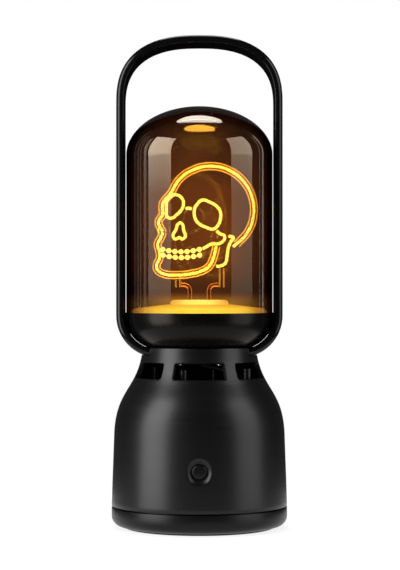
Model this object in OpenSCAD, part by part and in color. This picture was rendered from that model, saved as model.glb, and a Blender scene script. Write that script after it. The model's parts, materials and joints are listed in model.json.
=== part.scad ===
// Speaker night light: a bell-shaped speaker base, a smoked glass dome over a glowing line skull, and a hoop.
// Millimetres, +Z up, front towards -Y, origin on the table under the middle of the base.

/* [Base shell] */
// Diameter of the base at the seam
body_d = 88; // [86:0.5:94]
// Diameter where the bell starts to draw in
shoulder_d = 85.4; // [82:0.2:85.8]
// Height from the seam to where the bell starts to draw in
shoulder_h = 36.9; // [34:0.5:40]
// Height from the seam to the top edge of the neck
shell_h = 79.1; // [77:0.5:86]
// Diameter of the neck's top edge
neck_d = 56.8; // [55:0.2:60]
// How far the shoulder runs up before it turns in
shoulder_pull = 22; // [18:1:25]
// How far the neck runs down before it turns out
neck_pull = 21; // [17:1:23]
// Wall thickness of the shell
wall = 2.4; // [2:0.1:3]
// Depth of the hoop's channel below the neck's top edge
channel_h = 5; // [4.4:0.1:6]
// Thickness of the deck that closes the neck
deck_t = 2.1; // [1.6:0.1:3]

/* [Sound slots] */
// Number of slots across the front of the neck
slot_count = 3; // [1:1:5]
// Angle from one slot to the next
slot_pitch = 60; // [50:1:70]
// Height of a slot
slot_h = 7.8; // [5:0.2:9]
// Angle of the rib between two slots
slot_rib = 12; // [8:1:18]

/* [Bottom cover and foot] */
// Height of the bottom cover's side
cover_h = 9.5; // [8:0.5:12]
// Radius of the cover's lower edge
cover_round = 5; // [3:0.5:6]
// Thickness of the cover's floor
cover_floor = 2.4; // [2:0.1:3]
// Shadow gap between the cover and the shell
seam_gap = 0.6; // [0.3:0.1:1]
// Height that the foot stands proud of the cover
foot_h = 1; // [0.6:0.1:2]
// Width of the foot ring
foot_w = 7; // [6:0.5:9]
// Depth that the foot is let into the cover
foot_sink = 0.6; // [0.4:0.1:1]

/* [Power button] */
// Height of the button's middle above the seam
button_h = 20.2; // [19:0.2:22]
// Diameter of the button's cap
button_d = 7.2; // [6:0.2:9]
// Diameter of the dished recess round the cap
dish_d = 12.9; // [11:0.1:15]
// Depth of the dished recess
dish_depth = 1.1; // [0.8:0.1:1.3]
// Travel of the button
button_travel = 0.5; // [0.3:0.1:0.8]

/* [Power] */
// Diameter of the battery cell
cell_d = 18.4; // [16:0.2:18.6]
// Length of the battery cell
cell_l = 65; // [50:1:66]
// Thickness of the circuit boards
board_t = 1.6; // [1:0.1:1.6]
// Width of the charging inlet
inlet_w = 8.9; // [7:0.1:10]
// Height of the charging inlet
inlet_h = 3.2; // [2.6:0.1:3.6]

/* [Speaker] */
// Diameter of the driver's frame
driver_d = 55; // [54:0.5:56]
// Diameter of the cone
cone_d = 36; // [32:0.5:38]
// Depth of the driver from its flange to its yoke
driver_h = 28.5; // [27:0.5:29]
// Diameter of the magnet
magnet_d = 34; // [30:0.5:36]
// Diameter of the voice coil's former
coil_d = 15.4; // [13:0.2:17]
// Travel of the cone each way
cone_travel = 1; // [0.5:0.1:1.5]

/* [Cup] */
// Height of the cup
cup_h = 18.3; // [17:0.1:22]
// Radius of the cup's rounded underside
cup_round = 17; // [14:0.5:17]
// Wall thickness of the cup
cup_t = 2.2; // [1.8:0.1:3]
// Depth of the glass in the cup's rim
glass_sink = 1.2; // [0.8:0.1:2]
// Thickness of the lip outside the glass
cup_lip = 0.5; // [0.4:0.1:1]

/* [Glass dome] */
// Diameter of the dome
glass_d = 73.4; // [72:0.2:80]
// Wall thickness of the glass
glass_t = 2.4; // [1.6:0.1:3]
// Height of the dome above the cup's rim
glass_h = 103.4; // [96:0.2:112]
// Height of the domed top
dome_rise = 24.5; // [18:0.5:34]

/* [Hoop handle] */
// Thickness of the strap
handle_t = 3.8; // [3:0.1:4.4]
// Depth of the strap from front to back
handle_depth = 28; // [20:0.5:32]
// Clear height between the dome and the hoop
finger_gap = 30.6; // [24:0.2:40]
// Height of the hoop's rounded top
crown_rise = 33.6; // [26:0.2:40]

/* [Floor and skull] */
// Height of the floor's edge above the cup's rim
floor_lift = 1.9; // [0.2:0.1:3]
// Height of the floor's cone
floor_rise = 2.2; // [1:0.1:4]
// Diameter of the filament base
puck_d = 29.2; // [26:0.2:32]
// Height of the filament base above the floor
puck_h = 2.2; // [1.6:0.1:4]
// Height of the skull from its chin to its crown
skull_h = 54.5; // [50:0.5:56]
// Diameter of the clear tube round the outline
tube_d = 4; // [3.4:0.1:4.4]
// Diameter of the outline's filament
filament_d = 1.9; // [1.5:0.1:2]
// Diameter of the filaments inside the outline
fine_d = 1.7; // [1.4:0.1:1.8]
// Diameter of a tooth bead
bead_d = 2.5; // [2:0.1:2.6]
// Number of tooth beads in a row
bead_count = 7; // [5:1:7]

/* [Hidden] */
$fn = 96;

// Clearances
fit = 0.15;
run_fit = 0.08;
glass_gap = 0.1;
cup_gap = 0.2;
stroke_gap = 0.3;
eps = 1;

// Heights of the stack, from the table up
cover_z0 = foot_h;
cover_z1 = cover_z0 + cover_h;
floor_z = cover_z0 + cover_floor;
shell_z0 = cover_z1 + seam_gap;
neck_z = shell_z0 + shell_h;
strap_z = neck_z - channel_h;
deck_z0 = strap_z - deck_t;
slot_z1 = deck_z0 - fit;
slot_z0 = slot_z1 - slot_h;
cup_z0 = strap_z + handle_t + cup_gap;
rim_z = cup_z0 + cup_h;
dome_z = rim_z + glass_h;
hoop_z = dome_z + finger_gap + handle_t;

// Base shell
body_r = body_d / 2;
bell_steps = 24;
shoulder_lean = 0.06;
neck_lean = 0.1;
bell_ctrl = [
    [shoulder_d / 2, shell_z0 + shoulder_h],
    [shoulder_d / 2 - shoulder_lean * shoulder_pull, shell_z0 + shoulder_h + shoulder_pull],
    [neck_d / 2 + neck_lean * neck_pull, neck_z - neck_pull],
    [neck_d / 2, neck_z]
];
bell_pts = [for (i = [0:bell_steps]) bezier(bell_ctrl, i / bell_steps)];
bell_table = concat([[shell_z0, body_r]], [for (p = bell_pts) [p[1], p[0]]]);
slot_in = bell_r(slot_z1) - wall - fit;

// Bottom cover, its lip inside the shell, and its screws under the foot ring
lip_t = 1.2;
lip_h = 2.5;
lip_r = body_r - wall - fit;
foot_inset = 1.5;
foot_r = body_r - cover_round - foot_inset;
screw_ring = foot_r - foot_w / 2;
screw_r = 1.4;
screw_head_r = 2.6;
screw_head_h = 2;
cover_boss_h = 4.6;
cover_boss_r = 4.2;
head_seat_z = floor_z + 1.4;
boss_z0 = floor_z + cover_boss_h;
boss_r = 3.2;
boss_h = 14;
thread_h = 9;

// Battery, its cradle and the main board
cradle_t = 1.4;
cradle_w = 8;
cradle_inset = 8;
cradle_wall = 2;
cell_z = floor_z + cradle_t + cell_d / 2 + fit;
tab_t = 0.3;
tab_w = 6;
board_gap = 2.8;
board_z = cell_z + cell_d / 2 + board_gap;
board_top = board_z + board_t;
board_r = body_r - wall - 3.6;
board_clear = 1.9;
post_x = 17;
post_inset = 3;
post_r = 2.6;
chip_w = 9;
chip_h = 1.2;
coil_can_d = 8;
coil_can_h = 3.6;
can_d = 6;
can_h = 4.4;
small_chip_l = 5;
small_chip_w = 4;
small_chip_h = 1;
part_x = board_r * 0.6;
part_y = board_r * 0.35;
small_screw_r = 1;
small_head_r = 1.9;
small_head_h = 1.2;
small_thread = 6;
inlet_l = 7.4;
inlet_wall = 0.35;
inlet_z = board_top + inlet_h / 2;
inlet_front = bell_r(inlet_z) - 1.2;
tongue_t = 0.7;

// Power button and its switch, measured outwards from the middle of the base
button_z = shell_z0 + button_h;
button_face = bell_r(button_z) - 0.3;
guide_in = bell_r(button_z) - 4.4;
guide_r = dish_d / 2 + 1;
flange_t = 1;
flange_r = button_d / 2 + 1.2;
flange_out = guide_in - 0.2;
stem_r = 1.2;
stem_in = flange_out - flange_t - 0.7;
plunger_r = 1.5;
plunger_out = stem_in - 0.1;
switch_out = plunger_out - 0.9;
switch_w = 6;
switch_h = 3.5;
plunger_sink = 1.6;
switch_board_out = switch_out - switch_h;
board_front = switch_board_out - board_t - board_clear;
post_y = board_front - post_inset;
switch_board_w = 22;
switch_board_h = 11;
switch_post_x = 8;
switch_post_r = 2;

// Speaker, measured up from the tallest part on the main board, and the shelf it hangs under
yoke_gap = 1.5;
yoke_z0 = board_top + can_h + yoke_gap;
flange_z1 = yoke_z0 + driver_h;
gasket_t = 1;
shelf_t = 2.4;
shelf_z0 = flange_z1 + gasket_t;
shelf_z1 = shelf_z0 + shelf_t;
flange_seat = 4.5;
shelf_hole = driver_d / 2 - flange_seat;
driver_screw_ring = driver_d / 2 - 2.5;
driver_screws = 4;
driver_turn = -108.5;
driver_post_r = 2;
driver_post_gap = 3.5;
driver_post_z = deck_z0 - driver_post_gap;
frame_t = 1.6;
flange_z0 = flange_z1 - frame_t;
yoke_t = 3;
plate_t = 3;
magnet_t = 7;
plate_z0 = yoke_z0 + yoke_t + magnet_t;
plate_z1 = plate_z0 + plate_t;
basket_z0 = plate_z1;
coil_t = 0.4;
winding_t = 0.25;
coil_r = coil_d / 2;
pole_r = coil_r - coil_t - 0.4;
plate_hole = coil_r + winding_t + 0.3;
coil_z0 = plate_z0 - 1.5;
coil_out = 7;
coil_z1 = plate_z1 + coil_out + cone_travel;
cone_t = 0.5;
collar_h = 1.2;
cone_r = cone_d / 2;
roll_w = 3.2;
roll_t = 0.4;
roll_r = cone_r + roll_w;
spider_z = basket_z0 + 3.2;
spider_w = 7;
spider_r = coil_r + spider_w;
spider_waves = 3;

// Cup and what stands in it
glass_r = glass_d / 2;
rim_r = glass_r + glass_gap + cup_lip;
seal_t = 0.8;
ledge_z = rim_z - glass_sink - seal_t;
ledge_t = 2;
ledge_w = 5.2;
ledge_r = glass_r - ledge_w;
cup_cx = rim_r - cup_round;
cup_cz = cup_z0 + cup_round;
cup_in = cup_round - cup_t;
cup_screw_x = 11;
cup_boss_r = 3.6;
cup_boss_h = 5;
wire_hole_r = 3.5;
lamp_board_lift = 6.6;
lamp_board_z = cup_z0 + cup_t + lamp_board_lift;
lamp_board_r = 20;
lamp_post_ring = 16;
lamp_post_r = 2.5;
led_count = 6;
led_r = 1.5;
led_ring = 17.5;

// Glass and floor
glass_z0 = ledge_z + seal_t;
floor_r = glass_r - glass_t - 0.4;
skirt_t = 1.5;
floor_t = 1.4;
floor_edge_z = rim_z + floor_lift;
land_z = floor_edge_z + floor_rise;
land_r = puck_d / 2 + 0.8;
stem_clear = 0.2;
puck_stem_r = puck_d / 2 - 2.4;
puck_stem_h = 3.4;
puck_round = 1.2;
puck_z = land_z + puck_h;

// Hoop
half_w = rim_r + cup_gap + handle_t;
hoop_round = cup_round + cup_gap + handle_t;
crown_power = 2.5;
crown_steps = 40;
crown_z = hoop_z - crown_rise;
round_steps = 10;

// Skull: its strokes are drawn in X and Z from the top of the filament base, at a height of 54.5
skull_k = skull_h / 54.5;
front_y = -(tube_d + fine_d) / 2 - stroke_gap;
tube_bore = filament_d + 0.4;
stroke_steps = 3;
tube_sides = 10;
wire_sides = 8;
crown_mid = [5.6, 45.3];
crown_r = 21.8;
crown_end = -53;
filament_end = -59;
brow_angle = 160;
face_line = [
    [-17, 50.5], [-18.5, 48], [-18.5, 44.5], [-18.5, 42.5], [-20, 40.5], [-20.5, 38.5], [-19.5, 36],
    [-18.5, 34], [-19.5, 31], [-21, 28], [-20.5, 25.5], [-20, 23.5], [-20, 21], [-21.5, 17.5], [-21, 15],
    [-17.5, 13], [-11, 12.5], [-5, 13], [1, 14.5], [5, 17], [7, 21], [8.5, 27]
];
jaw_line = [
    [8.4, 17], [10.5, 17], [13, 18.5], [14, 22.5], [14.5, 26], [15.8, 29.3], [17, 31.3], [14.5, 32]
];
cheek_line = [[8.6, 34.6], [10, 33.3], [12.6, 31.8], [10.4, 28.4], [6, 28], [3, 26.3], [1.5, 25.5]];
left_eye_line = [
    [-16, 50], [-14, 52], [-11, 52.5], [-8.5, 50.5], [-8, 47.5], [-9, 45], [-11.5, 42.5], [-13.5, 41],
    [-16, 41.5], [-16.5, 45.5]
];
right_eye_line = [
    [-2.5, 45], [-1, 48], [1.5, 50], [5, 49], [8.5, 47], [10.5, 44], [10.5, 40.5], [9, 37], [7, 35.5],
    [3, 36.5], [0, 38], [-2, 40.5]
];
bridge_line = [[-6.9, 45.5], [-5.4, 46], [-3.9, 45.4]];
nose_line = [
    [-10.4, 38.2], [-9, 38.4], [-7.8, 34.5], [-7, 32], [-8.5, 30.5], [-10, 31.2], [-12, 30.5], [-13.2, 32.2],
    [-11.8, 35]
];
brace_line = [[-18.5, 34.2], [-14.5, 33]];
brace_r = 0.3;
bead_wire_r = 0.4;
bead_run = 18.3;
upper_row = [-9.2, 24.1];
lower_row = [-9, 21.2];
row_curve = 0.0145;
lead_r = 1;
lead_x = 4.8;
lead_bend = 3;
lead_turn_h = 7.6;
riser_r = 1.5;
riser_wall = 0.45;
left_riser_x = -10.8;
right_riser_x = 11.2;
riser_foot = 6.4;
chin_z = 12.5;
jaw_z = 17;

// Wires from the main board up through the shelf, inside the wall, to the lamp board
wire_r = 0.8;
wire_y = 10;
wire_gap = 2.2;
wire_clear = 0.4;
wire_lean = 1;
notch_r = 2.4;
notch_lift = 1;
wire_run = deck_z0 - shelf_z1;
wire_reach = bell_r(shelf_z1 + notch_lift) - wall - wire_r - wire_clear;
notch_x = sqrt(pow(wire_reach, 2) - pow(wire_y + wire_gap / 2, 2));
wire_path = [
    [notch_x - wire_lean, wire_y, board_top + fit],
    [notch_x - wire_lean / 2, wire_y, board_top + (shelf_z0 - board_top) * 0.4],
    [notch_x, wire_y, shelf_z0 - shelf_t],
    [notch_x, wire_y, shelf_z1 + notch_lift],
    [notch_x * 0.84, wire_y * 0.9, shelf_z1 + wire_run * 0.4],
    [notch_x * 0.56, wire_y * 0.6, shelf_z1 + wire_run * 0.63],
    [notch_x * 0.22, wire_y * 0.2, shelf_z1 + wire_run * 0.8],
    [0, 0, deck_z0],
    [0, 0, lamp_board_z - fit]
];

// Curves

function bezier(p, t) =
    let (u = 1 - t)
    u * u * u * p[0] + 3 * u * u * t * p[1] + 3 * u * t * t * p[2] + t * t * t * p[3];

function bell_r(z) = lookup(z, bell_table);

function arc(c, r, a0, a1, n) =
    [for (i = [0:n]) let (a = a0 + (a1 - a0) * i / n) c + r * [cos(a), sin(a)]];

function catmull(a, b, c, d, t) =
    0.5 * (2 * b + (c - a) * t + (2 * a - 5 * b + 4 * c - d) * t * t + (3 * b - a - 3 * c + d) * t * t * t);

// A smooth open line through points, and a smooth closed one
function open_line(p, steps) =
    let (n = len(p) - 1)
    concat(
        [for (i = [0:n - 1]) for (s = [0:steps - 1])
            catmull(p[max(i - 1, 0)], p[i], p[i + 1], p[min(i + 2, n)], s / steps)],
        [p[n]]
    );

function closed_line(p, steps) =
    let (n = len(p))
    [for (i = [0:n - 1]) for (s = [0:steps - 1])
        catmull(p[(i + n - 1) % n], p[i], p[(i + 1) % n], p[(i + 2) % n], s / steps)];

// A line of the skull set upright at depth y
function upright(line, y) = [for (p = line) [p[0] * skull_k, y, puck_z + p[1] * skull_k]];

function unit(v) = v / norm(v);

function heading(path, i, closed) =
    let (n = len(path))
    closed
        ? unit(path[(i + 1) % n] - path[(i + n - 1) % n])
        : unit(path[min(i + 1, n - 1)] - path[max(i - 1, 0)]);

function rings(path, r, sides, closed) =
    [for (i = [0:len(path) - 1])
        let (t = heading(path, i, closed), side = unit(cross(t, [0, 1, 0])), up = cross(side, t))
        for (k = [0:sides - 1])
            path[i] + r * (cos(360 * k / sides) * side + sin(360 * k / sides) * up)];

// Triangles between neighbouring rings of points, numbered from first
function skin(count, sides, first, closed, inward) =
    [for (i = [0:count - (closed ? 1 : 2)]) for (k = [0:sides - 1]) for (half = [0, 1])
        let (
            j = (i + 1) % count,
            m = (k + 1) % sides,
            a = first + i * sides + k,
            b = first + i * sides + m,
            c = first + j * sides + k,
            d = first + j * sides + m,
            f = half == 0 ? [a, b, d] : [a, d, c]
        )
        inward ? [f[2], f[1], f[0]] : f];

function fan(first, sides, flip) =
    [for (k = [1:sides - 2]) flip ? [first, first + k, first + k + 1] : [first, first + k + 1, first + k]];

// Triangles that close the end of a pipe between its outer and inner rings
function rim(outer, inner, sides, flip) =
    [for (k = [0:sides - 1]) for (half = [0, 1])
        let (
            m = (k + 1) % sides,
            f = half == 0 ? [outer + k, inner + k, inner + m] : [outer + k, inner + m, outer + m]
        )
        flip ? [f[2], f[1], f[0]] : f];

module rod(path, r, sides) {
    n = len(path);
    polyhedron(
        rings(path, r, sides, false),
        concat(
            skin(n, sides, 0, false, false),
            fan(0, sides, false),
            fan((n - 1) * sides, sides, true)
        )
    );
}

module loop(path, r, sides) {
    polyhedron(rings(path, r, sides, true), skin(len(path), sides, 0, true, false));
}

module pipe(path, r_out, r_in, sides) {
    n = len(path);
    bore = n * sides;
    polyhedron(
        concat(rings(path, r_out, sides, false), rings(path, r_in, sides, false)),
        concat(
            skin(n, sides, 0, false, false),
            skin(n, sides, bore, false, true),
            rim(0, bore, sides, false),
            rim((n - 1) * sides, bore + (n - 1) * sides, sides, true)
        )
    );
}

// Shared shapes

module disc(r, z0, z1) {
    translate([0, 0, z0]) cylinder(r = r, h = z1 - z0);
}

module ring(r_out, r_in, z0, z1) {
    difference() {
        disc(r_out, z0, z1);
        disc(r_in, z0 - eps, z1 + eps);
    }
}

// Children spread evenly on a circle
module around(count, r, turn = 0) {
    for (i = [0:count - 1])
        rotate([0, 0, turn + i * 360 / count]) translate([r, 0, 0]) children();
}

// Children whose +Z points outwards to the front, at height z
module to_front(z) {
    translate([0, 0, z]) rotate([90, 0, 0]) children();
}

// Children whose +Z points outwards to the rear, at height z
module to_rear(z) {
    translate([0, 0, z]) rotate([-90, 0, 0]) children();
}

module screw(r, head_r, head_h, length) {
    translate([0, 0, -head_h]) cylinder(r = head_r, h = head_h);
    cylinder(r = r, h = length);
}

module at_board_posts(z) {
    for (sx = [-1, 1], sy = [-1, 1]) translate([sx * post_x, sy * post_y, z]) children();
}

module stadium(w, h) {
    for (s = [-1, 1]) translate([s * (w - h) / 2, 0]) circle(d = h);
    square([w - h, h], center = true);
}

// The hoop's outline, drawn in by inset
function crown_line(inset) =
    [for (i = [0:crown_steps]) let (
        t = 180 * i / crown_steps,
        x = pow(abs(cos(t)), 2 / crown_power) * sign(cos(t)),
        y = pow(abs(sin(t)), 2 / crown_power)
    ) [(half_w - inset) * x, crown_z + (crown_rise - inset) * y]];

function hoop_line(inset) =
    let (c = half_w - hoop_round, z = strap_z + hoop_round, r = hoop_round - inset)
    concat(
        crown_line(inset),
        arc([-c, z], r, 180, 270, round_steps),
        arc([c, z], r, 270, 360, round_steps)
    );

module hoop_block(depth, inset) {
    rotate([90, 0, 0]) linear_extrude(height = depth, center = true) polygon(hoop_line(inset));
}

// The cup's outside, grown by clear
function cup_line(clear) =
    concat(
        [[0, cup_z0 - clear]],
        arc([cup_cx, cup_cz], cup_round + clear, 270, 360, round_steps),
        [[rim_r + clear, rim_z]]
    );

// Bottom

module foot_ring() {
    color("#1c1c1e") ring(foot_r, foot_r - foot_w, 0, foot_h + foot_sink);
}

module bottom_cover() {
    color("#161617") difference() {
        union() {
            rotate_extrude() polygon(concat(
                [[0, cover_z0]],
                arc([body_r - cover_round, cover_z0 + cover_round], cover_round, 270, 360, round_steps),
                [
                    [body_r, cover_z1],
                    [lip_r, cover_z1],
                    [lip_r, shell_z0 + lip_h],
                    [lip_r - lip_t, shell_z0 + lip_h],
                    [lip_r - lip_t, floor_z],
                    [0, floor_z]
                ]
            ));
            around(4, screw_ring, 45) disc(cover_boss_r, floor_z - eps, boss_z0);
            at_board_posts(0) disc(post_r, floor_z - eps, board_z);
        }
        ring(foot_r + fit, foot_r - foot_w - fit, cover_z0 - eps, cover_z0 + foot_sink);
        around(4, screw_ring, 45) {
            disc(screw_head_r + fit, cover_z0 - eps, head_seat_z);
            disc(screw_r + fit, cover_z0, boss_z0 + eps);
        }
        at_board_posts(0) disc(small_screw_r + run_fit, board_z - small_thread, board_z + eps);
    }
}

module cover_screws() {
    color("#3a3a3c") around(4, screw_ring, 45) translate([0, 0, head_seat_z])
        screw(screw_r, screw_head_r, screw_head_h, boss_z0 - head_seat_z + thread_h);
}

// Base shell

module bell(grow) {
    rotate_extrude() polygon(concat(
        [[0, shell_z0], [body_r + grow, shell_z0]],
        [for (p = bell_pts) p + [grow, 0]],
        [[0, neck_z]]
    ));
}

module shell_posts() {
    web_z = shell_z0 + lip_h + 0.5;
    around(4, screw_ring, 45) {
        disc(boss_r, boss_z0, boss_z0 + boss_h);
        translate([0, -boss_r / 2, web_z]) cube([body_r - screw_ring, boss_r, boss_z0 + boss_h - web_z]);
    }
    to_front(button_z) {
        translate([0, 0, guide_in]) cylinder(r = guide_r, h = body_r - guide_in);
        for (s = [-1, 1])
            translate([s * switch_post_x, 0, switch_board_out])
                cylinder(r = switch_post_r, h = body_r - switch_board_out);
    }
}

module button_cuts() {
    to_front(button_z) {
        translate([0, 0, guide_in - eps]) cylinder(r = button_d / 2 + run_fit, h = body_r);
        translate([0, 0, bell_r(button_z) - dish_depth])
            cylinder(r1 = button_d / 2 + 0.4, r2 = dish_d / 2, h = dish_depth);
        translate([0, 0, bell_r(button_z)]) cylinder(d = dish_d, h = eps);
        for (s = [-1, 1])
            translate([s * switch_post_x, 0, switch_board_out - eps])
                cylinder(r = small_screw_r + run_fit, h = small_thread - board_t + eps);
    }
}

module hoop_channel() {
    hoop_block(handle_depth + 2 * fit, -fit);
    rotate_extrude() polygon(concat(cup_line(cup_gap), [[0, rim_z]]));
}

module shell_wall(z0, z1) {
    intersection() {
        difference() {
            bell(0);
            bell(-wall);
            disc(body_r - wall, shell_z0 - eps, shell_z0);
            disc(neck_d / 2 - wall, neck_z - eps, neck_z + eps);
        }
        disc(body_r + eps, z0, z1);
    }
}

// The bell, up to the foot of the sound slots
module base_shell() {
    color("#1b1b1d") difference() {
        union() {
            shell_wall(shell_z0 - eps, slot_z0);
            intersection() {
                shell_posts();
                union() {
                    bell(-wall / 2);
                    disc(screw_ring + boss_r + eps, boss_z0 - eps, shell_z0 + eps);
                }
            }
        }
        button_cuts();
        to_rear(inlet_z) linear_extrude(height = bell_r(inlet_z) + eps)
            stadium(inlet_w + 2 * fit, inlet_h + 2 * fit);
        around(4, screw_ring, 45) disc(screw_r + run_fit, boss_z0 - eps, boss_z0 + thread_h + eps);
    }
}

// The collar with the sound slots, welded to the bell's upper edge
module neck_collar() {
    color("#1b1b1d") difference() {
        shell_wall(slot_z0, neck_z + eps);
        for (i = [0:slot_count - 1])
            rotate([0, 0, -90 + (i - (slot_count - 1) / 2) * slot_pitch - (slot_pitch - slot_rib) / 2])
                rotate_extrude(angle = slot_pitch - slot_rib)
                    translate([slot_in, slot_z0 - eps]) square([body_r - slot_in, slot_h + eps]);
        hoop_channel();
    }
}

// The plate that carries the driver, bonded inside the shell
module speaker_shelf() {
    color("#1b1b1d") difference() {
        union() {
            intersection() {
                bell(-wall - fit);
                ring(body_r, shelf_hole, shelf_z0, shelf_z1);
            }
            around(driver_screws, driver_screw_ring, driver_turn)
                disc(driver_post_r, shelf_z1 - eps, driver_post_z);
        }
        around(driver_screws, driver_screw_ring, driver_turn)
            disc(small_screw_r + run_fit, shelf_z0 - eps, shelf_z1 + small_thread);
        hull() for (x = [notch_x, notch_x + 2 * notch_r])
            translate([x, wire_y, 0]) disc(notch_r, shelf_z0 - eps, shelf_z1 + eps);
    }
}

// The block that closes the neck and seats the hoop and the cup
module neck_deck() {
    color("#1b1b1d") difference() {
        intersection() {
            bell(-wall - fit);
            disc(body_r, deck_z0, neck_z + eps);
        }
        hoop_channel();
        for (s = [-1, 1]) translate([s * cup_screw_x, 0, 0]) disc(screw_r + fit, deck_z0 - eps, neck_z);
        disc(wire_hole_r, deck_z0 - eps, neck_z);
    }
}

// Power button and switch

module power_button() {
    color("#202022") to_front(button_z) {
        disc(button_d / 2, flange_out - flange_t / 2, button_face);
        disc(flange_r, flange_out - flange_t, flange_out);
        disc(stem_r, stem_in, flange_out);
    }
}

module switch_plunger() {
    color("#c9b27a") to_front(button_z) translate([0, 0, switch_out - plunger_sink + button_travel + fit])
        cylinder(r = plunger_r, h = plunger_out - switch_out + plunger_sink - button_travel - fit);
}

module tact_switch() {
    color("#2a2a2c") to_front(button_z) difference() {
        translate([0, 0, switch_out - switch_h / 2]) cube([switch_w, switch_w, switch_h], center = true);
        translate([0, 0, switch_out - plunger_sink])
            cylinder(r = plunger_r + run_fit, h = plunger_sink + eps);
    }
}

module switch_board() {
    color("#1f5c38") to_front(button_z) difference() {
        translate([0, 0, switch_board_out - board_t / 2])
            cube([switch_board_w, switch_board_h, board_t], center = true);
        for (s = [-1, 1])
            translate([s * switch_post_x, 0, switch_board_out - board_t - eps])
                cylinder(r = small_screw_r + fit, h = board_t + 2 * eps);
    }
}

module switch_screws() {
    color("#8a8a8c") to_front(button_z) for (s = [-1, 1])
        translate([s * switch_post_x, 0, switch_board_out - board_t])
            screw(small_screw_r, small_head_r, small_head_h, small_thread - fit);
}

// Main board, battery and charging inlet

module main_board() {
    color("#1f5c38") difference() {
        intersection() {
            disc(board_r, board_z, board_top);
            translate([-body_r, -board_front, board_z - eps]) cube([body_d, body_d, board_t + 2 * eps]);
        }
        at_board_posts(board_z - eps) cylinder(r = small_screw_r + fit, h = board_t + 2 * eps);
    }
}

module board_screws() {
    color("#8a8a8c") at_board_posts(board_top) mirror([0, 0, 1])
        screw(small_screw_r, small_head_r, small_head_h, small_thread - fit);
}

module board_components() {
    color("#2b2b2d") {
        translate([part_x / 2, -part_y, board_top]) cube([chip_w, chip_w, chip_h]);
        translate([-part_x, -part_y, board_top]) cylinder(d = coil_can_d, h = coil_can_h);
        translate([-part_x, part_y, board_top]) cylinder(d = can_d, h = can_h);
        translate([part_x, part_y, board_top]) cube([small_chip_l, small_chip_w, small_chip_h]);
    }
}

module battery_cradle() {
    saddle = cell_l / 2 - cradle_inset - cradle_w;
    color("#26262a") difference() {
        union() {
            translate([-saddle - cradle_w, -cell_d / 2, floor_z])
                cube([2 * (saddle + cradle_w), cell_d, cradle_t]);
            for (x = [-saddle - cradle_w, saddle])
                translate([x, -cell_d / 2 - cradle_wall, floor_z])
                    cube([cradle_w, cell_d + 2 * cradle_wall, cell_z - floor_z - 1]);
        }
        translate([-cell_l / 2, 0, cell_z]) rotate([0, 90, 0]) cylinder(d = cell_d + 2 * fit, h = cell_l);
    }
}

module battery_cell() {
    color("#3d6fb5") translate([-cell_l / 2, 0, cell_z]) rotate([0, 90, 0])
        cylinder(d = cell_d, h = cell_l);
}

module battery_tabs() {
    color("#b9b9b4") for (x = [-cell_l / 2 - tab_t, cell_l / 2])
        translate([x, -tab_w / 2, cell_z - tab_w / 2]) cube([tab_t, tab_w, board_z - cell_z + tab_w / 2]);
}

module inlet_shell() {
    color("#a9abad") to_rear(inlet_z) translate([0, 0, inlet_front - inlet_l]) difference() {
        linear_extrude(height = inlet_l) stadium(inlet_w, inlet_h);
        translate([0, 0, inlet_wall]) linear_extrude(height = inlet_l)
            stadium(inlet_w - 2 * inlet_wall, inlet_h - 2 * inlet_wall);
    }
}

module inlet_tongue() {
    color("#2b2b2d") to_rear(inlet_z) translate([0, 0, inlet_front - inlet_l + inlet_wall])
        linear_extrude(height = inlet_l - inlet_wall - 1)
            square([inlet_w - inlet_h, tongue_t], center = true);
}

// Speaker

module speaker_frame() {
    throat = magnet_d / 2;
    window = 2 * throat * 0.7;
    color("#4a4a4e") difference() {
        union() {
            difference() {
                rotate_extrude() polygon([
                    [plate_hole + 1, basket_z0],
                    [throat, basket_z0],
                    [roll_r + frame_t, flange_z0],
                    [driver_d / 2, flange_z0],
                    [driver_d / 2, flange_z1],
                    [roll_r - 1, flange_z1],
                    [roll_r - 1, flange_z1 - 0.8],
                    [throat - frame_t, basket_z0 + frame_t],
                    [plate_hole + 1, basket_z0 + frame_t]
                ]);
                for (i = [0:3]) rotate([0, 0, 45 + 90 * i])
                    translate([spider_r + frame_t + 1, -window / 2, spider_z + 1])
                        cube([driver_d, window, flange_z0 - spider_z - 2]);
            }
            ring(spider_r + frame_t, spider_r - 0.6, basket_z0 + frame_t / 2, spider_z);
        }
        around(driver_screws, driver_screw_ring, driver_turn)
            disc(small_screw_r + fit, flange_z0 - eps, flange_z1 + eps);
    }
}

module speaker_gasket() {
    color("#2a2a2a") difference() {
        ring(driver_d / 2, roll_r + 2, flange_z1, shelf_z0);
        around(driver_screws, driver_screw_ring, driver_turn)
            disc(small_screw_r + fit, flange_z1 - eps, shelf_z0 + eps);
    }
}

module speaker_screws() {
    color("#8a8a8c") around(driver_screws, driver_screw_ring, driver_turn) translate([0, 0, flange_z0])
        screw(small_screw_r, small_head_r, small_head_h, shelf_z1 - flange_z0 + small_thread - fit);
}

module speaker_yoke() {
    color("#7d7f82") {
        disc(magnet_d / 2 - 1.5, yoke_z0, yoke_z0 + yoke_t);
        disc(pole_r, yoke_z0 + yoke_t / 2, plate_z1);
    }
}

module speaker_magnet() {
    color("#38383a") ring(magnet_d / 2, plate_hole + 1.2, yoke_z0 + yoke_t, plate_z0);
}

module speaker_top_plate() {
    color("#7d7f82") ring(magnet_d / 2 - 1.5, plate_hole, plate_z0, plate_z1);
}

module voice_coil() {
    color("#b5703a") {
        ring(coil_r, coil_r - coil_t, coil_z0, coil_z1);
        ring(coil_r + winding_t, coil_r - coil_t / 2, plate_z0 - 1, plate_z1 + 1);
    }
}

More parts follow.
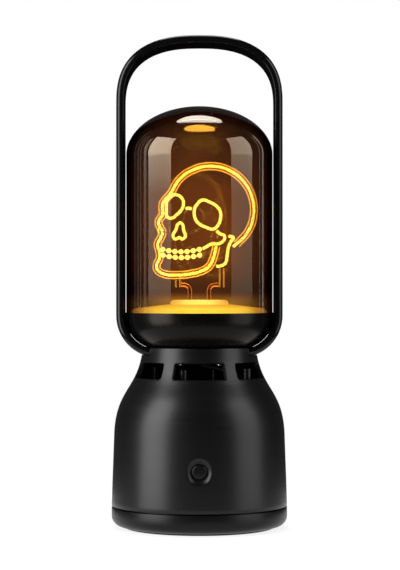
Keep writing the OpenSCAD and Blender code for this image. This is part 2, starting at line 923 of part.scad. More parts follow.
module speaker_cone() {
    neck = coil_r + 0.05;
    color("#242426") rotate_extrude() polygon([
        [neck, coil_z1 - collar_h],
        [neck + cone_t, coil_z1 - collar_h],
        [neck + cone_t, coil_z1 - cone_t],
        [cone_r - 1, flange_z1 - cone_t],
        [cone_r - 0.1, flange_z1 - cone_t],
        [cone_r - 0.1, flange_z1],
        [cone_r - 1.2, flange_z1],
        [neck, coil_z1]
    ]);
}

module dust_cap() {
    cap_r = coil_r + 0.4;
    cap_rise = 2.4;
    cap_t = 0.4;
    cap_z = coil_z1 + 0.7;
    ball = (cap_r * cap_r + cap_rise * cap_rise) / (2 * cap_rise);
    color("#2e2e31") intersection() {
        translate([0, 0, cap_z + cap_rise - ball]) difference() {
            sphere(r = ball);
            sphere(r = ball - cap_t);
        }
        disc(cap_r + eps, cap_z, cap_z + cap_rise + eps);
    }
}

module speaker_surround() {
    mid = cone_r + roll_w / 2;
    bend = (roll_w - 0.6) / 2;
    color("#1a1a1a") rotate_extrude() polygon(concat(
        [[cone_r, flange_z1 + 0.05]],
        arc([mid, flange_z1 + 0.05 + roll_t], bend, 180, 0, round_steps),
        [
            [roll_r + 1.5, flange_z1 + 0.05 + roll_t],
            [roll_r + 1.5, flange_z1 + 0.05],
            [roll_r - 0.7, flange_z1 + 0.05]
        ],
        arc([mid, flange_z1 + 0.05 + roll_t], bend - roll_t, 0, 180, round_steps)
    ));
}

module speaker_spider() {
    steps = 8 * spider_waves;
    r0 = coil_r + winding_t + 0.4;
    height = 0.7;
    sheet = 0.35;
    wave = [for (i = [0:steps]) [
        r0 + (spider_r - r0) * i / steps,
        spider_z + 0.1 + height * (1 - cos(360 * spider_waves * i / steps)) / 2
    ]];
    color("#b48a4a") rotate_extrude() polygon(concat(wave, [for (i = [steps:-1:0]) wave[i] + [0, sheet]]));
}

module lamp_wires() {
    color("#6b2b20") for (s = [-1, 1])
        rod(open_line([for (p = wire_path) p + [0, s * wire_gap / 2, 0]], stroke_steps), wire_r, wire_sides);
}

// Hoop and cup

module handle() {
    color("#111112") difference() {
        hoop_block(handle_depth, 0);
        hoop_block(handle_depth + 2 * eps, handle_t);
        for (s = [-1, 1]) translate([s * cup_screw_x, 0, 0]) disc(screw_r + fit, strap_z - eps, cup_z0);
        disc(wire_hole_r, strap_z - eps, cup_z0);
    }
}

module cup_screws() {
    color("#3a3a3c") for (s = [-1, 1]) translate([s * cup_screw_x, 0, deck_z0])
        screw(screw_r, screw_head_r, screw_head_h, cup_z0 - deck_z0 + cup_t + cup_boss_h - 1);
}

module lamp_cup() {
    ledge_angle = 360 - asin((cup_cz - ledge_z + ledge_t) / cup_in);
    color("#131314") difference() {
        union() {
            rotate_extrude() polygon(concat(
                cup_line(0),
                [
                    [glass_r + glass_gap, rim_z],
                    [glass_r + glass_gap, ledge_z],
                    [ledge_r, ledge_z],
                    [ledge_r, ledge_z - ledge_t]
                ],
                arc([cup_cx, cup_cz], cup_in, ledge_angle, 270, round_steps),
                [[0, cup_z0 + cup_t]]
            ));
            for (s = [-1, 1]) translate([s * cup_screw_x, 0, 0])
                disc(cup_boss_r, cup_z0 + cup_t / 2, cup_z0 + cup_t + cup_boss_h);
            around(3, lamp_post_ring, 90) disc(lamp_post_r, cup_z0 + cup_t / 2, lamp_board_z);
        }
        for (s = [-1, 1]) translate([s * cup_screw_x, 0, 0])
            disc(screw_r + run_fit, cup_z0 - eps, cup_z0 + cup_t + cup_boss_h + eps);
        disc(wire_hole_r, cup_z0 - eps, cup_z0 + cup_t + eps);
        around(3, lamp_post_ring, 90)
            disc(small_screw_r + run_fit, lamp_board_z - small_thread, lamp_board_z + eps);
    }
}

module lamp_board() {
    color("#ececea") difference() {
        disc(lamp_board_r, lamp_board_z, lamp_board_z + board_t);
        around(3, lamp_post_ring, 90)
            disc(small_screw_r + fit, lamp_board_z - eps, lamp_board_z + board_t + eps);
    }
}

module lamp_board_screws() {
    color("#8a8a8c") around(3, lamp_post_ring, 90)
        translate([0, 0, lamp_board_z + board_t]) mirror([0, 0, 1])
            screw(small_screw_r, small_head_r, small_head_h, small_thread - fit);
}

module floor_lights() {
    color("#ffc04a") around(led_count, led_ring) translate([0, 0, lamp_board_z + board_t]) {
        cylinder(r = led_r, h = led_r / 2);
        translate([0, 0, led_r / 2]) intersection() {
            sphere(r = led_r);
            cylinder(r = led_r, h = led_r);
        }
    }
}

module reflector_floor() {
    hole = puck_stem_r + stem_clear;
    color("#e8a62c") rotate_extrude() polygon([
        [floor_r - skirt_t, ledge_z],
        [floor_r, ledge_z],
        [floor_r, floor_edge_z],
        [land_r, land_z],
        [hole, land_z],
        [hole, land_z - floor_t],
        [land_r, land_z - floor_t],
        [floor_r - skirt_t, floor_edge_z - floor_t]
    ]);
}

// Glass dome

function dome_line(r, top, rise) =
    [for (i = [0:bell_steps]) let (a = 90 * i / bell_steps) [r * cos(a), top - rise + rise * sin(a)]];

module dome_gasket() {
    color("#1c1c1e") ring(glass_r, glass_r - glass_t, ledge_z, glass_z0);
}

module glass_dome() {
    inner_r = glass_r - glass_t;
    inside = dome_line(inner_r, dome_z - glass_t, dome_rise - glass_t);
    color("#5a3a1c", 0.5) rotate_extrude() polygon(concat(
        [[inner_r, glass_z0], [glass_r, glass_z0]],
        dome_line(glass_r, dome_z, dome_rise),
        [for (i = [bell_steps:-1:0]) inside[i]]
    ));
}

// Filament base and what carries the skull

module filament_base() {
    r = puck_d / 2;
    stem_z = land_z - puck_stem_h;
    color("#e9b65a") difference() {
        rotate_extrude() polygon(concat(
            [[0, stem_z], [puck_stem_r, stem_z], [puck_stem_r, land_z], [r, land_z]],
            arc([r - puck_round, puck_z - puck_round], puck_round, 0, 90, round_steps),
            [[0, puck_z]]
        ));
        for (s = [-1, 1]) translate([s * lead_x, 0, 0])
            disc(lead_r + run_fit, stem_z - eps, puck_z + eps);
    }
}

// A lead rises from the lamp board, turns outwards and meets the side of its riser
function lead_path(side, reach) =
    concat(
        [[side * lead_x, 0, lamp_board_z + board_t + fit], [side * lead_x, 0, puck_z]],
        [for (p = arc([lead_x + lead_bend, lead_turn_h - lead_bend], lead_bend, 180, 90, round_steps))
            [side * p[0], 0, puck_z + p[1]]],
        [[side * reach, 0, puck_z + lead_turn_h]]
    );

module riser(x, top) {
    translate([x, 0, puck_z]) difference() {
        disc(riser_r, riser_foot, top);
        disc(riser_r - riser_wall, riser_foot + riser_wall, top + eps);
    }
}

module left_lead() {
    color("#d9822b") rod(lead_path(-1, -left_riser_x - riser_r - fit), lead_r, wire_sides);
}

module right_lead() {
    color("#d9822b") rod(lead_path(1, right_riser_x - riser_r - fit), lead_r, wire_sides);
}

module left_riser() {
    color("#c98a4a") riser(left_riser_x, chin_z * skull_k - tube_d / 2 - stroke_gap);
}

module right_riser() {
    color("#c98a4a") riser(right_riser_x, jaw_z * skull_k - fine_d / 2 - stroke_gap);
}

// Skull

function outline(start) =
    concat(
        arc(crown_mid, crown_r, start, brow_angle, 10 * stroke_steps),
        open_line(face_line, stroke_steps)
    );

module outline_tube() {
    color("#c98a4a", 0.5) pipe(upright(outline(crown_end), 0), tube_d / 2, tube_bore / 2, tube_sides);
}

module outline_filament() {
    color("#ffc400") rod(upright(outline(filament_end), 0), filament_d / 2, wire_sides);
}

module jaw_filament() {
    color("#ffc400") rod(upright(open_line(jaw_line, stroke_steps), 0), fine_d / 2, wire_sides);
}

module cheek_filament() {
    color("#ffc400") rod(upright(open_line(cheek_line, stroke_steps), front_y), fine_d / 2, wire_sides);
}

module left_eye_filament() {
    path = upright(closed_line(left_eye_line, stroke_steps), front_y);
    color("#ffc400") loop(path, fine_d / 2, wire_sides);
}

module right_eye_filament() {
    path = upright(closed_line(right_eye_line, stroke_steps), front_y);
    color("#ffc400") loop(path, fine_d / 2, wire_sides);
}

module bridge_filament() {
    color("#ffc400") rod(upright(open_line(bridge_line, stroke_steps), front_y), fine_d / 2, wire_sides);
}

module nose_filament() {
    color("#ffc400") loop(upright(closed_line(nose_line, stroke_steps), front_y), fine_d / 2, wire_sides);
}

module nose_brace() {
    color("#8f8f8a") rod(upright(brace_line, front_y), brace_r, wire_sides);
}

// A row of tooth beads strung on a wire, on a shallow curve about its middle
module tooth_row(mid) {
    step = bead_run / (bead_count - 1);
    across = [for (i = [0:bead_count - 1]) step * i - bead_run / 2];
    spots = upright([for (x = across) mid + [x, row_curve * x * x]], front_y);
    for (p = spots) translate(p) sphere(d = bead_d);
    rod(spots, bead_wire_r, wire_sides);
}

module upper_teeth() {
    color("#ffd23a") tooth_row(upper_row);
}

module lower_teeth() {
    color("#ffd23a") tooth_row(lower_row);
}

foot_ring();
bottom_cover();
cover_screws();
base_shell();
neck_collar();
speaker_shelf();
neck_deck();
power_button();
switch_plunger();
tact_switch();
switch_board();
switch_screws();
main_board();
board_screws();
board_components();
battery_cradle();
battery_cell();
battery_tabs();
inlet_shell();
inlet_tongue();
speaker_frame();
speaker_gasket();
speaker_screws();
speaker_yoke();
speaker_magnet();
speaker_top_plate();
voice_coil();
speaker_cone();
dust_cap();
speaker_surround();
speaker_spider();
lamp_wires();
handle();
cup_screws();
lamp_cup();
lamp_board();
lamp_board_screws();
floor_lights();
reflector_floor();
dome_gasket();
glass_dome();
filament_base();
left_lead();
right_lead();
left_riser();
right_riser();
outline_tube();
outline_filament();
jaw_filament();
cheek_filament();
left_eye_filament();
right_eye_filament();
bridge_filament();
nose_filament();
nose_brace();
upper_teeth();
lower_teeth();
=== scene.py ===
import json
import math

import bmesh
import bpy
from mathutils import Matrix, Vector
from mathutils.geometry import interpolate_bezier


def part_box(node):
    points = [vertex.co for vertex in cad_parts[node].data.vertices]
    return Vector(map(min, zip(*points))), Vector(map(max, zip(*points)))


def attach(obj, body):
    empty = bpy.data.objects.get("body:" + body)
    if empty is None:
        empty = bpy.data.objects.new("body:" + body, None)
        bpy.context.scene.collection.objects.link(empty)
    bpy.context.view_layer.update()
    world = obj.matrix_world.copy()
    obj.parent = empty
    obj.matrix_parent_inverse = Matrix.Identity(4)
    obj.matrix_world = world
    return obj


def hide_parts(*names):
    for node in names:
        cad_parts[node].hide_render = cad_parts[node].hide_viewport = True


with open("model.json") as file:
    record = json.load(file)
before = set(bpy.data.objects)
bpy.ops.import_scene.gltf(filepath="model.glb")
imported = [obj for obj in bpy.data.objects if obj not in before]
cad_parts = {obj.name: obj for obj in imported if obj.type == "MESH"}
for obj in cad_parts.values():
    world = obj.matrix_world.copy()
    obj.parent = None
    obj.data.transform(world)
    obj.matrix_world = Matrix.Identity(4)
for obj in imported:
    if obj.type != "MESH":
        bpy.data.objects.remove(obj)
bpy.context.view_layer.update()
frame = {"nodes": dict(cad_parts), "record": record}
cadNodes = frame["nodes"]
scene = bpy.context.scene
scene.view_settings.view_transform = "Standard"
print("frame loaded,", len(cadNodes), "CAD nodes")


def mm(*values):
    return Vector([value / 1000 for value in values])


def toLinear(hexColour):
    parts = [int(hexColour[i:i + 2], 16) / 255 for i in (1, 3, 5)]
    return [c / 12.92 if c <= 0.04045 else ((c + 0.055) / 1.055) ** 2.4 for c in parts] + [1.0]


def addNode(tree, kind, values=None, links=None, **settings):
    node = tree.nodes.new(kind)
    for key, value in settings.items():
        setattr(node, key, value)
    for key, value in (values or {}).items():
        node.inputs[key].default_value = value
    for key, socket in (links or {}).items():
        tree.links.new(socket, node.inputs[key])
    return node


# camera at the photograph's height and distance, with its focal length in pixels of the 400 by 570 frame
cameraSetup = {"distance": 1.0, "height": 0.1213, "focalPixels": 1992.5, "framePixels": 570,
               "axisLeftOfMiddle": 0.6, "sensorMm": 36}

lens = bpy.data.cameras.new("photoCamera")
lens.sensor_fit = "VERTICAL"
lens.sensor_height = cameraSetup["sensorMm"]
lens.lens = cameraSetup["sensorMm"] * cameraSetup["focalPixels"] / cameraSetup["framePixels"]
lens.shift_x = cameraSetup["axisLeftOfMiddle"] / cameraSetup["framePixels"]
lens.clip_start = 0.01
camera = bpy.data.objects.new("photoCamera", lens)
camera.location = (0, -cameraSetup["distance"], cameraSetup["height"])
camera.rotation_euler = (math.radians(90), 0, 0)
scene.collection.objects.link(camera)
scene.camera = camera

# soft boxes, in m, with the height and the glow of the steps up each face: a tall one each side for all but the
# glass, stronger on the left, and one above and behind for everything. The rest light the glass alone: boxes that
# are dimmer below its shoulder, strips that draw lines down it, a card under the hoop, and an amber lamp for the
# floor's glow in the crown
softBoxes = {
    "leftSoftBox": {
        "place": (-0.70, -0.37, 0.33), "size": (0.52, 1.16), "glass": "EXCLUDE",
        "steps": ((-0.25, 4.6), (0.10, 5.1), (0.40, 6.0), (0.70, 6.9), (0.90, 7.5))},
    "rightSoftBox": {
        "place": (0.74, -0.30, 0.33), "size": (0.52, 1.16), "glass": "EXCLUDE",
        "steps": ((-0.25, 1.8), (0.10, 2.0), (0.40, 2.6), (0.70, 3.3), (0.90, 3.8))},
    "topSoftBox": {
        "place": (0, 0.55, 1.25), "aim": (0, 0, 0.2), "size": (0.55, 0.55), "glass": None,
        "steps": ((0.98, 5.0), (1.52, 5.0))},
    "leftGlassBox": {
        "place": (-0.713, -0.340, 0.46), "size": (0.59, 0.90),
        "steps": ((0.01, 0.0), (0.105, 0.2), (0.117, 1.5), (0.20, 1.8), (0.235, 5.2), (0.25, 8.4), (0.90, 8.8))},
    "rightGlassBox": {
        "place": (0.747, -0.281, 0.46), "size": (0.57, 0.90),
        "steps": ((0.01, 0.0), (0.105, 0.1), (0.117, 0.9), (0.20, 1.3), (0.235, 2.6), (0.25, 4.2), (0.90, 4.6))},
    "leftStrip": {
        "place": (-0.80, 0.036, 0.40), "size": (0.080, 0.70),
        "steps": ((0.05, 0.5), (0.20, 0.9), (0.26, 1.8), (0.75, 1.8))},
    "leftHairline": {
        "place": (-0.78, 0.18, 0.40), "size": (0.024, 0.70), "steps": ((0.05, 0.7), (0.75, 0.9))},
    "leftThread": {
        "place": (-0.75, 0.273, 0.40), "size": (0.034, 0.70), "steps": ((0.05, 0.5), (0.75, 0.7))},
    "rightStrip": {
        "place": (0.72, 0.35, 0.40), "size": (0.050, 0.70),
        "steps": ((0.05, 1.1), (0.20, 1.4), (0.26, 1.6), (0.75, 1.6))},
    "rightHairline": {
        "place": (0.765, 0.234, 0.40), "size": (0.024, 0.70), "steps": ((0.05, 0.9), (0.75, 1.2))},
    "hoopCard": {
        "place": (0, -0.0167, 0.2335), "aim": (0, -0.0167, 0), "size": (0.043, 0.018),
        "shape": "ELLIPSE", "steps": ((0.23, 6.2), (0.24, 6.2))},
    "amberLamp": {
        "place": (0, -0.24, 1.2), "aim": (0, 0, 0.2), "size": (0.62, 0.42),
        "shape": "ELLIPSE", "colour": "#ffca4a", "steps": ((1.1, 13.0), (1.3, 13.0))},
}
glassLinks = {state: bpy.data.collections.new("glass" + state.capitalize()) for state in ("INCLUDE", "EXCLUDE")}
for boxName, box in softBoxes.items():
    wide, tall = box["size"]
    middle = Vector(box["place"])
    aim = Vector(box.get("aim", (0, 0, middle.z)))  # level at the axis where nothing else is said
    lamp = bpy.data.lights.new(boxName, "AREA")
    lamp.shape = box.get("shape", "RECTANGLE")
    lamp.color = toLinear(box.get("colour", "#ffffff"))[:3]
    lamp.size, lamp.size_y = wide, tall
    peak = max(glow for height, glow in box["steps"])
    lamp.energy = 4 * wide * tall * peak  # watts for that radiance
    lamp.use_nodes = True
    boxTree = lamp.node_tree
    face = addNode(boxTree, "ShaderNodeNewGeometry")
    upFace = addNode(boxTree, "ShaderNodeSeparateXYZ", links={0: face.outputs["Parametric"]})
    shade = addNode(boxTree, "ShaderNodeValToRGB", links={"Fac": upFace.outputs["Y"]})
    for i, (height, glow) in enumerate(box["steps"]):
        stop = (height - (box["place"][2] - tall / 2)) / tall
        step = shade.color_ramp.elements[i] if i < 2 else shade.color_ramp.elements.new(stop)
        step.position = stop
        step.color = (glow / peak, glow / peak, glow / peak, 1)
    boxTree.links.new(shade.outputs["Color"], boxTree.nodes["Emission"].inputs["Strength"])
    holder = bpy.data.objects.new(boxName, lamp)
    holder.location = middle
    holder.rotation_euler = (aim - middle).to_track_quat("-Z", "Y").to_euler()
    holder.visible_camera = False
    holder.light_linking.receiver_collection = glassLinks.get(box.get("glass", "INCLUDE"))
    scene.collection.objects.link(holder)

# a dim room, which the eye sees pale past the paper's edges and through the glass, so white glints show against it
room = {"dim": "#404040", "pale": "#ececec"}
world = bpy.data.worlds.new("studioRoom")
world.use_nodes = True
roomTree = world.node_tree
roomDim = roomTree.nodes["Background"]
roomDim.inputs["Color"].default_value = toLinear(room["dim"])
roomDim.inputs["Strength"].default_value = 1.0
roomRays = addNode(roomTree, "ShaderNodeLightPath").outputs
roomSeen = addNode(roomTree, "ShaderNodeMath", operation="MAXIMUM",
                   links={0: roomRays["Is Camera Ray"], 1: roomRays["Is Transmission Ray"]})
roomPale = addNode(roomTree, "ShaderNodeBackground", {"Color": toLinear(room["pale"]), "Strength": 1.0})
roomBoth = addNode(roomTree, "ShaderNodeMixShader",
                   links={0: roomSeen.outputs[0], 1: roomDim.outputs[0], 2: roomPale.outputs[0]})
roomTree.links.new(roomBoth.outputs[0], roomTree.nodes["World Output"].inputs["Surface"])
scene.world = world


def paperSweep(name, share):
    # matt white paper: plain white to the eye and in what glass and gloss show, and it takes the object's shadow
    paper = bpy.data.materials.new(name)
    paper.use_nodes = True
    tree = paper.node_tree
    shader = tree.nodes["Principled BSDF"]
    shader.inputs["Base Color"].default_value = toLinear("#f4f4f2")
    shader.inputs["Roughness"].default_value = 0.9
    shader.inputs["Specular IOR Level"].default_value = 0.0
    rays = addNode(tree, "ShaderNodeLightPath").outputs
    seen = rays["Is Camera Ray"]
    for kind in ("Is Glossy Ray", "Is Transmission Ray"):
        seen = addNode(tree, "ShaderNodeMath", links={0: seen, 1: rays[kind]}, operation="MAXIMUM").outputs[0]
    amount = addNode(tree, "ShaderNodeMath", {1: share}, {0: seen}, operation="MULTIPLY")
    white = addNode(tree, "ShaderNodeEmission", {"Color": (1, 1, 1, 1), "Strength": 1.0})
    both = addNode(tree, "ShaderNodeMixShader",
                   links={0: amount.outputs[0], 1: shader.outputs[0], 2: white.outputs[0]})
    tree.links.new(both.outputs[0], tree.nodes["Material Output"].inputs["Surface"])
    return paper


# a round white table and a white sheet behind it, no wider than the camera sees, and a lamp for the table alone
studio = {
    "tableRadius": 0.19, "tableDropMm": 0.05, "tableSides": 96, "tableWhite": 0.85,
    "sheetHalfWidth": 0.27, "sheetAt": 1.5, "sheetLow": -0.16, "sheetTop": 0.5,
    "lampAt": (0, 0.1, 1.6), "lampSize": 1.0, "lampGlow": 7.0,
}
for sheetName, share in (("studioTable", studio["tableWhite"]), ("studioBackdrop", 1.0)):
    sheet = bmesh.new()
    if sheetName == "studioTable":
        bmesh.ops.create_circle(sheet, cap_ends=True, segments=studio["tableSides"], radius=studio["tableRadius"])
        bmesh.ops.translate(sheet, vec=mm(0, 0, -studio["tableDropMm"]), verts=sheet.verts[:])
    else:
        for side, up in ((-1, "sheetLow"), (1, "sheetLow"), (1, "sheetTop"), (-1, "sheetTop")):
            sheet.verts.new((side * studio["sheetHalfWidth"], studio["sheetAt"], studio[up]))
        bmesh.ops.contextual_create(sheet, geom=sheet.verts[:])
    sheetMesh = bpy.data.meshes.new(sheetName)
    sheet.to_mesh(sheetMesh)
    sheet.free()
    sheetMesh.materials.append(paperSweep(sheetName + "Paper", share))
    sheetObject = bpy.data.objects.new(sheetName, sheetMesh)
    scene.collection.objects.link(sheetObject)
tableOnly = bpy.data.collections.new("tableOnly")
tableOnly.objects.link(bpy.data.objects["studioTable"])
tableLight = bpy.data.lights.new("tableLamp", "AREA")
tableLight.size = studio["lampSize"]
tableLight.energy = 4 * studio["lampSize"] ** 2 * studio["lampGlow"]
tableLamp = bpy.data.objects.new("tableLamp", tableLight)
tableLamp.location = studio["lampAt"]
tableLamp.light_linking.receiver_collection = tableOnly
scene.collection.objects.link(tableLamp)
print("camera, lights and paper set")


def startMaterial(name, values):
    material = bpy.data.materials.new(name)
    material.use_nodes = True
    tree = material.node_tree
    shader = tree.nodes["Principled BSDF"]
    for key, value in values.items():
        shader.inputs[key].default_value = value
    place = addNode(tree, "ShaderNodeTexCoord").outputs["Object"]
    return material, tree, shader, place


def grained(name, dark, light, grainMm, smooth, rough, lift=0.0, stretch=(1, 1, 1), gloss=0.5, metal=0.0,
            values=None):
    # a fine grain that shifts the colour a little, breaks up the shine and, with lift, stands proud
    plain = {"Specular IOR Level": gloss, "Metallic": metal}
    material, tree, shader, place = startMaterial(name, {**plain, **(values or {})})
    laid = addNode(tree, "ShaderNodeMapping", {"Scale": stretch}, {"Vector": place})
    grain = addNode(tree, "ShaderNodeTexNoise", {"Scale": 1000 / grainMm, "Detail": 3.0, "Roughness": 0.6},
                    {"Vector": laid.outputs[0]}).outputs["Fac"]
    tone = addNode(tree, "ShaderNodeMixRGB", {"Color1": toLinear(dark), "Color2": toLinear(light)}, {"Fac": grain})
    shine = addNode(tree, "ShaderNodeMapRange", {"To Min": smooth, "To Max": rough}, {"Value": grain})
    tree.links.new(tone.outputs[0], shader.inputs["Base Color"])
    tree.links.new(shine.outputs[0], shader.inputs["Roughness"])
    if lift:
        deep = grainMm / 1000 / 4
        bump = addNode(tree, "ShaderNodeBump", {"Strength": lift, "Distance": deep}, {"Height": grain})
        tree.links.new(bump.outputs[0], shader.inputs["Normal"])
    return material


# soft-touch painted ABS: near black, broad dull shine, faint level lines left by the turned mould
softTouch = grained("softTouchPaintedAbs", "#060607", "#0b0b0d", 1.7, 0.30, 0.37, 0.06, (0.02, 0.02, 1),
                    gloss=0.29)
# bare moulded ABS cover: the same black, a little duller
coverAbs = grained("mouldedAbsCover", "#050506", "#0a0a0b", 1.2, 0.30, 0.38, 0.05, gloss=0.2)
# gloss lacquer on the hoop: black, sharp bright edges, slight orange peel
hoopLacquer = grained("glossLacqueredSteel", "#060608", "#0b0b0d", 1.6, 0.10, 0.16, 0.02, gloss=0.21)
# matt black inside the hoop: dull even where the eye skims along it
hoopMatt = grained("mattBlackPrimer", "#050506", "#0a0a0b", 0.6, 0.85, 0.95, 0.1, gloss=0.02)
# satin lacquer on the cup: black with a soft rolling highlight
cupLacquer = grained("satinLacqueredAbs", "#040404", "#080808", 0.8, 0.24, 0.30, 0.03,
                     gloss=0.13, values={"Specular Tint": toLinear("#fff0e2")})
# moulded ABS button: black, with a finer grain than the shell's
buttonAbs = grained("mouldedAbsButton", "#060607", "#0b0b0c", 0.4, 0.30, 0.40, 0.05, gloss=0.18)
# silicone rubber: matt, dusty black
rubber = grained("siliconeRubber", "#1a1a1b", "#262627", 0.5, 0.72, 0.88, 0.15)
# copper-clad leads: drawn metal, with a painted orange glow along their sides
leadCopper = grained("copperCladLead", "#d98a44", "#f0ab62", 0.3, 0.06, 0.12, 0.02, (1, 1, 0.1),
                     metal=1.0, values={"Emission Color": toLinear("#ffbc65")})


def glowing(name, dark, light, spotMm, colour, low, high, rough, alpha=1.0):
    # a lit surface whose brightness wanders a little, as light let through moulded plastic or phosphor does
    material, tree, shader, place = startMaterial(name, {"Roughness": rough, "Alpha": alpha})
    cloud = addNode(tree, "ShaderNodeTexNoise", {"Scale": 1000 / spotMm, "Detail": 3.0},
                    {"Vector": place}).outputs["Fac"]
    tone = addNode(tree, "ShaderNodeMixRGB", {"Color1": toLinear(dark), "Color2": toLinear(light)}, {"Fac": cloud})
    glow = addNode(tree, "ShaderNodeMapRange", {"From Min": 0.3, "From Max": 0.7, "To Min": low, "To Max": high},
                   {"Value": cloud})
    tree.links.new(tone.outputs[0], shader.inputs["Base Color"])
    tree.links.new(glow.outputs[0], shader.inputs["Emission Strength"])
    shader.inputs["Emission Color"].default_value = toLinear(colour)
    return material


# moulded amber acrylic, lit from the board below it: frosted, an even deep yellow
floorAmber = glowing("frostedAmberAcrylic", "#d9982c", "#e8ac3c", 6.0, "#fbff60", 5.9, 6.9, 0.45)
# cast amber resin: paler and a little smoother than the floor
puckAmber = glowing("castAmberResin", "#e6b65c", "#f0c878", 4.0, "#ecff8e", 7.4, 8.4, 0.3)
# LED filament: yellow silicone over a row of dies, the dies burning paler, and the teeth paler beads
filamentSkin = glowing("yellowSiliconeSkin", "#f0b43c", "#f6c650", 0.6, "#f6ff60", 12.4, 14.2, 0.4, 0.35)
filamentDie = glowing("litPhosphorDie", "#ffe9a0", "#fff2c0", 0.5, "#e6ffae", 15.0, 17.0, 0.4)
toothDie = glowing("litPhosphorBead", "#ffe9a0", "#fff2c0", 0.8, "#fbff94", 9.0, 11.5, 0.35)


def clearGlass(name, tint, smearMm, rough, values):
    # drawn glass: clear, with faint smears that soften what it mirrors here and there
    material, tree, shader, place = startMaterial(name, values)
    shader.inputs["Base Color"].default_value = toLinear(tint)
    shader.inputs["Transmission Weight"].default_value = 1.0
    smear = addNode(tree, "ShaderNodeTexNoise", {"Scale": 1000 / smearMm, "Detail": 2.0}, {"Vector": place})
    haze = addNode(tree, "ShaderNodeMapRange", {"From Min": 0.35, "From Max": 0.7, "To Min": 0.0, "To Max": rough},
                   {"Value": smear.outputs["Fac"]})
    tree.links.new(haze.outputs[0], shader.inputs["Roughness"])
    return material


# smoked glass, brown in the body: the 2.4 mm wall lets about a sixth of the red through and less green and blue,
# and a painted glow on its inner wall stands for the skull's light, most before and behind it, and, yellower, the
# floor's.
# Each share of the painted glow runs from one place to another, in m, and from one amount to another
smokedGlass = clearGlass("smokedSodaGlass", "#ffffff", 22.0, 0.03,
                         {"IOR": 1.5, "Specular Tint": toLinear("#ffe4c2")})
smokeAndPaintedGlow = {
    "smoke": (0.33, 0.175, 0.006, 1), "smokeDensity": 1150.0,
    "glow": 3.9, "floorGlow": 2.1, "skullColour": "#ff9a48", "floorColour": "#ffd366", "cloudMm": 30.0,
    "shares": {
        "beforeSkull": (0.012, 0.034, 0.1, 1.0), "nearSkull": (0.205, 0.150, 0.05, 0.2),
        "aboveFloor": (0.118, 0.138, 0.35, 1.0), "floorHalo": (0.1185, 0.1125, 0.0, 1.0),
    },
}
smokeTree = smokedGlass.node_tree
smokeShader = smokeTree.nodes["Principled BSDF"]
smoke = addNode(smokeTree, "ShaderNodeVolumeAbsorption",
                {"Color": smokeAndPaintedGlow["smoke"], "Density": smokeAndPaintedGlow["smokeDensity"]})
smokeTree.links.new(smoke.outputs[0], smokeTree.nodes["Material Output"].inputs["Volume"])
# the painted glow: on the inner wall only, in the shares above, broken by a cloud, and coloured from the skull's
# to the floor's
paintedGlowInnerWall = addNode(smokeTree, "ShaderNodeAttribute", attribute_name="innerWall")
smokePlace = addNode(smokeTree, "ShaderNodeTexCoord").outputs["Object"]
smokeParts = addNode(smokeTree, "ShaderNodeSeparateXYZ", links={0: smokePlace}).outputs
fromSkull = addNode(smokeTree, "ShaderNodeMath", links={0: smokeParts["Y"]}, operation="ABSOLUTE")
paintedGlowShares = {}
for shareName, (near, far, nearShare, farShare) in smokeAndPaintedGlow["shares"].items():
    measured = fromSkull.outputs[0] if shareName == "beforeSkull" else smokeParts["Z"]
    paintedGlowShares[shareName] = addNode(
        smokeTree, "ShaderNodeMapRange",
        {"From Min": near, "From Max": far, "To Min": nearShare, "To Max": farShare},
        {"Value": measured}, interpolation_type="SMOOTHSTEP").outputs[0]
paintedGlowColour = addNode(
    smokeTree, "ShaderNodeMixRGB",
    {"Color1": toLinear(smokeAndPaintedGlow["skullColour"]), "Color2": toLinear(smokeAndPaintedGlow["floorColour"])},
    {"Fac": paintedGlowShares["floorHalo"]})
smokeTree.links.new(paintedGlowColour.outputs[0], smokeShader.inputs["Emission Color"])
paintedGlowFoot = addNode(smokeTree, "ShaderNodeMath", {1: smokeAndPaintedGlow["floorGlow"]},
                   {0: paintedGlowShares["floorHalo"], 2: paintedGlowShares["aboveFloor"]}, operation="MULTIPLY_ADD")
paintedGlowCloud = addNode(smokeTree, "ShaderNodeTexNoise", {"Scale": 1000 / smokeAndPaintedGlow["cloudMm"], "Detail": 2.0},
                    {"Vector": smokePlace})
paintedGlow = paintedGlowShares["nearSkull"]
for part in (paintedGlowCloud.outputs["Fac"], paintedGlowFoot.outputs[0], paintedGlowInnerWall.outputs["Fac"], paintedGlowShares["beforeSkull"]):
    paintedGlow = addNode(smokeTree, "ShaderNodeMath", links={0: paintedGlow, 1: part}, operation="MULTIPLY").outputs[0]
paintedGlowLift = addNode(smokeTree, "ShaderNodeMath", {1: smokeAndPaintedGlow["glow"]}, {0: paintedGlow}, operation="MULTIPLY")
smokeTree.links.new(paintedGlowLift.outputs[0], smokeShader.inputs["Emission Strength"])

# clear silicone sleeve round the filament; it and the leads get a painted glow along their sides, from a band set
# on the mesh
clearTube = clearGlass("clearSiliconeSleeve", "#fff6ea", 5.0, 0.02,
                       {"IOR": 1.2, "Emission Color": toLinear("#ffca40")})
for sideGlowPainted, strength in ((clearTube, 5.0), (leadCopper, 4.0)):
    litTree = sideGlowPainted.node_tree
    sideBand = addNode(litTree, "ShaderNodeAttribute", attribute_name="sideBand")
    sideGlow = addNode(litTree, "ShaderNodeMath", {1: strength}, {0: sideBand.outputs["Fac"]},
                       operation="MULTIPLY")
    litTree.links.new(sideGlow.outputs[0], litTree.nodes["Principled BSDF"].inputs["Emission Strength"])
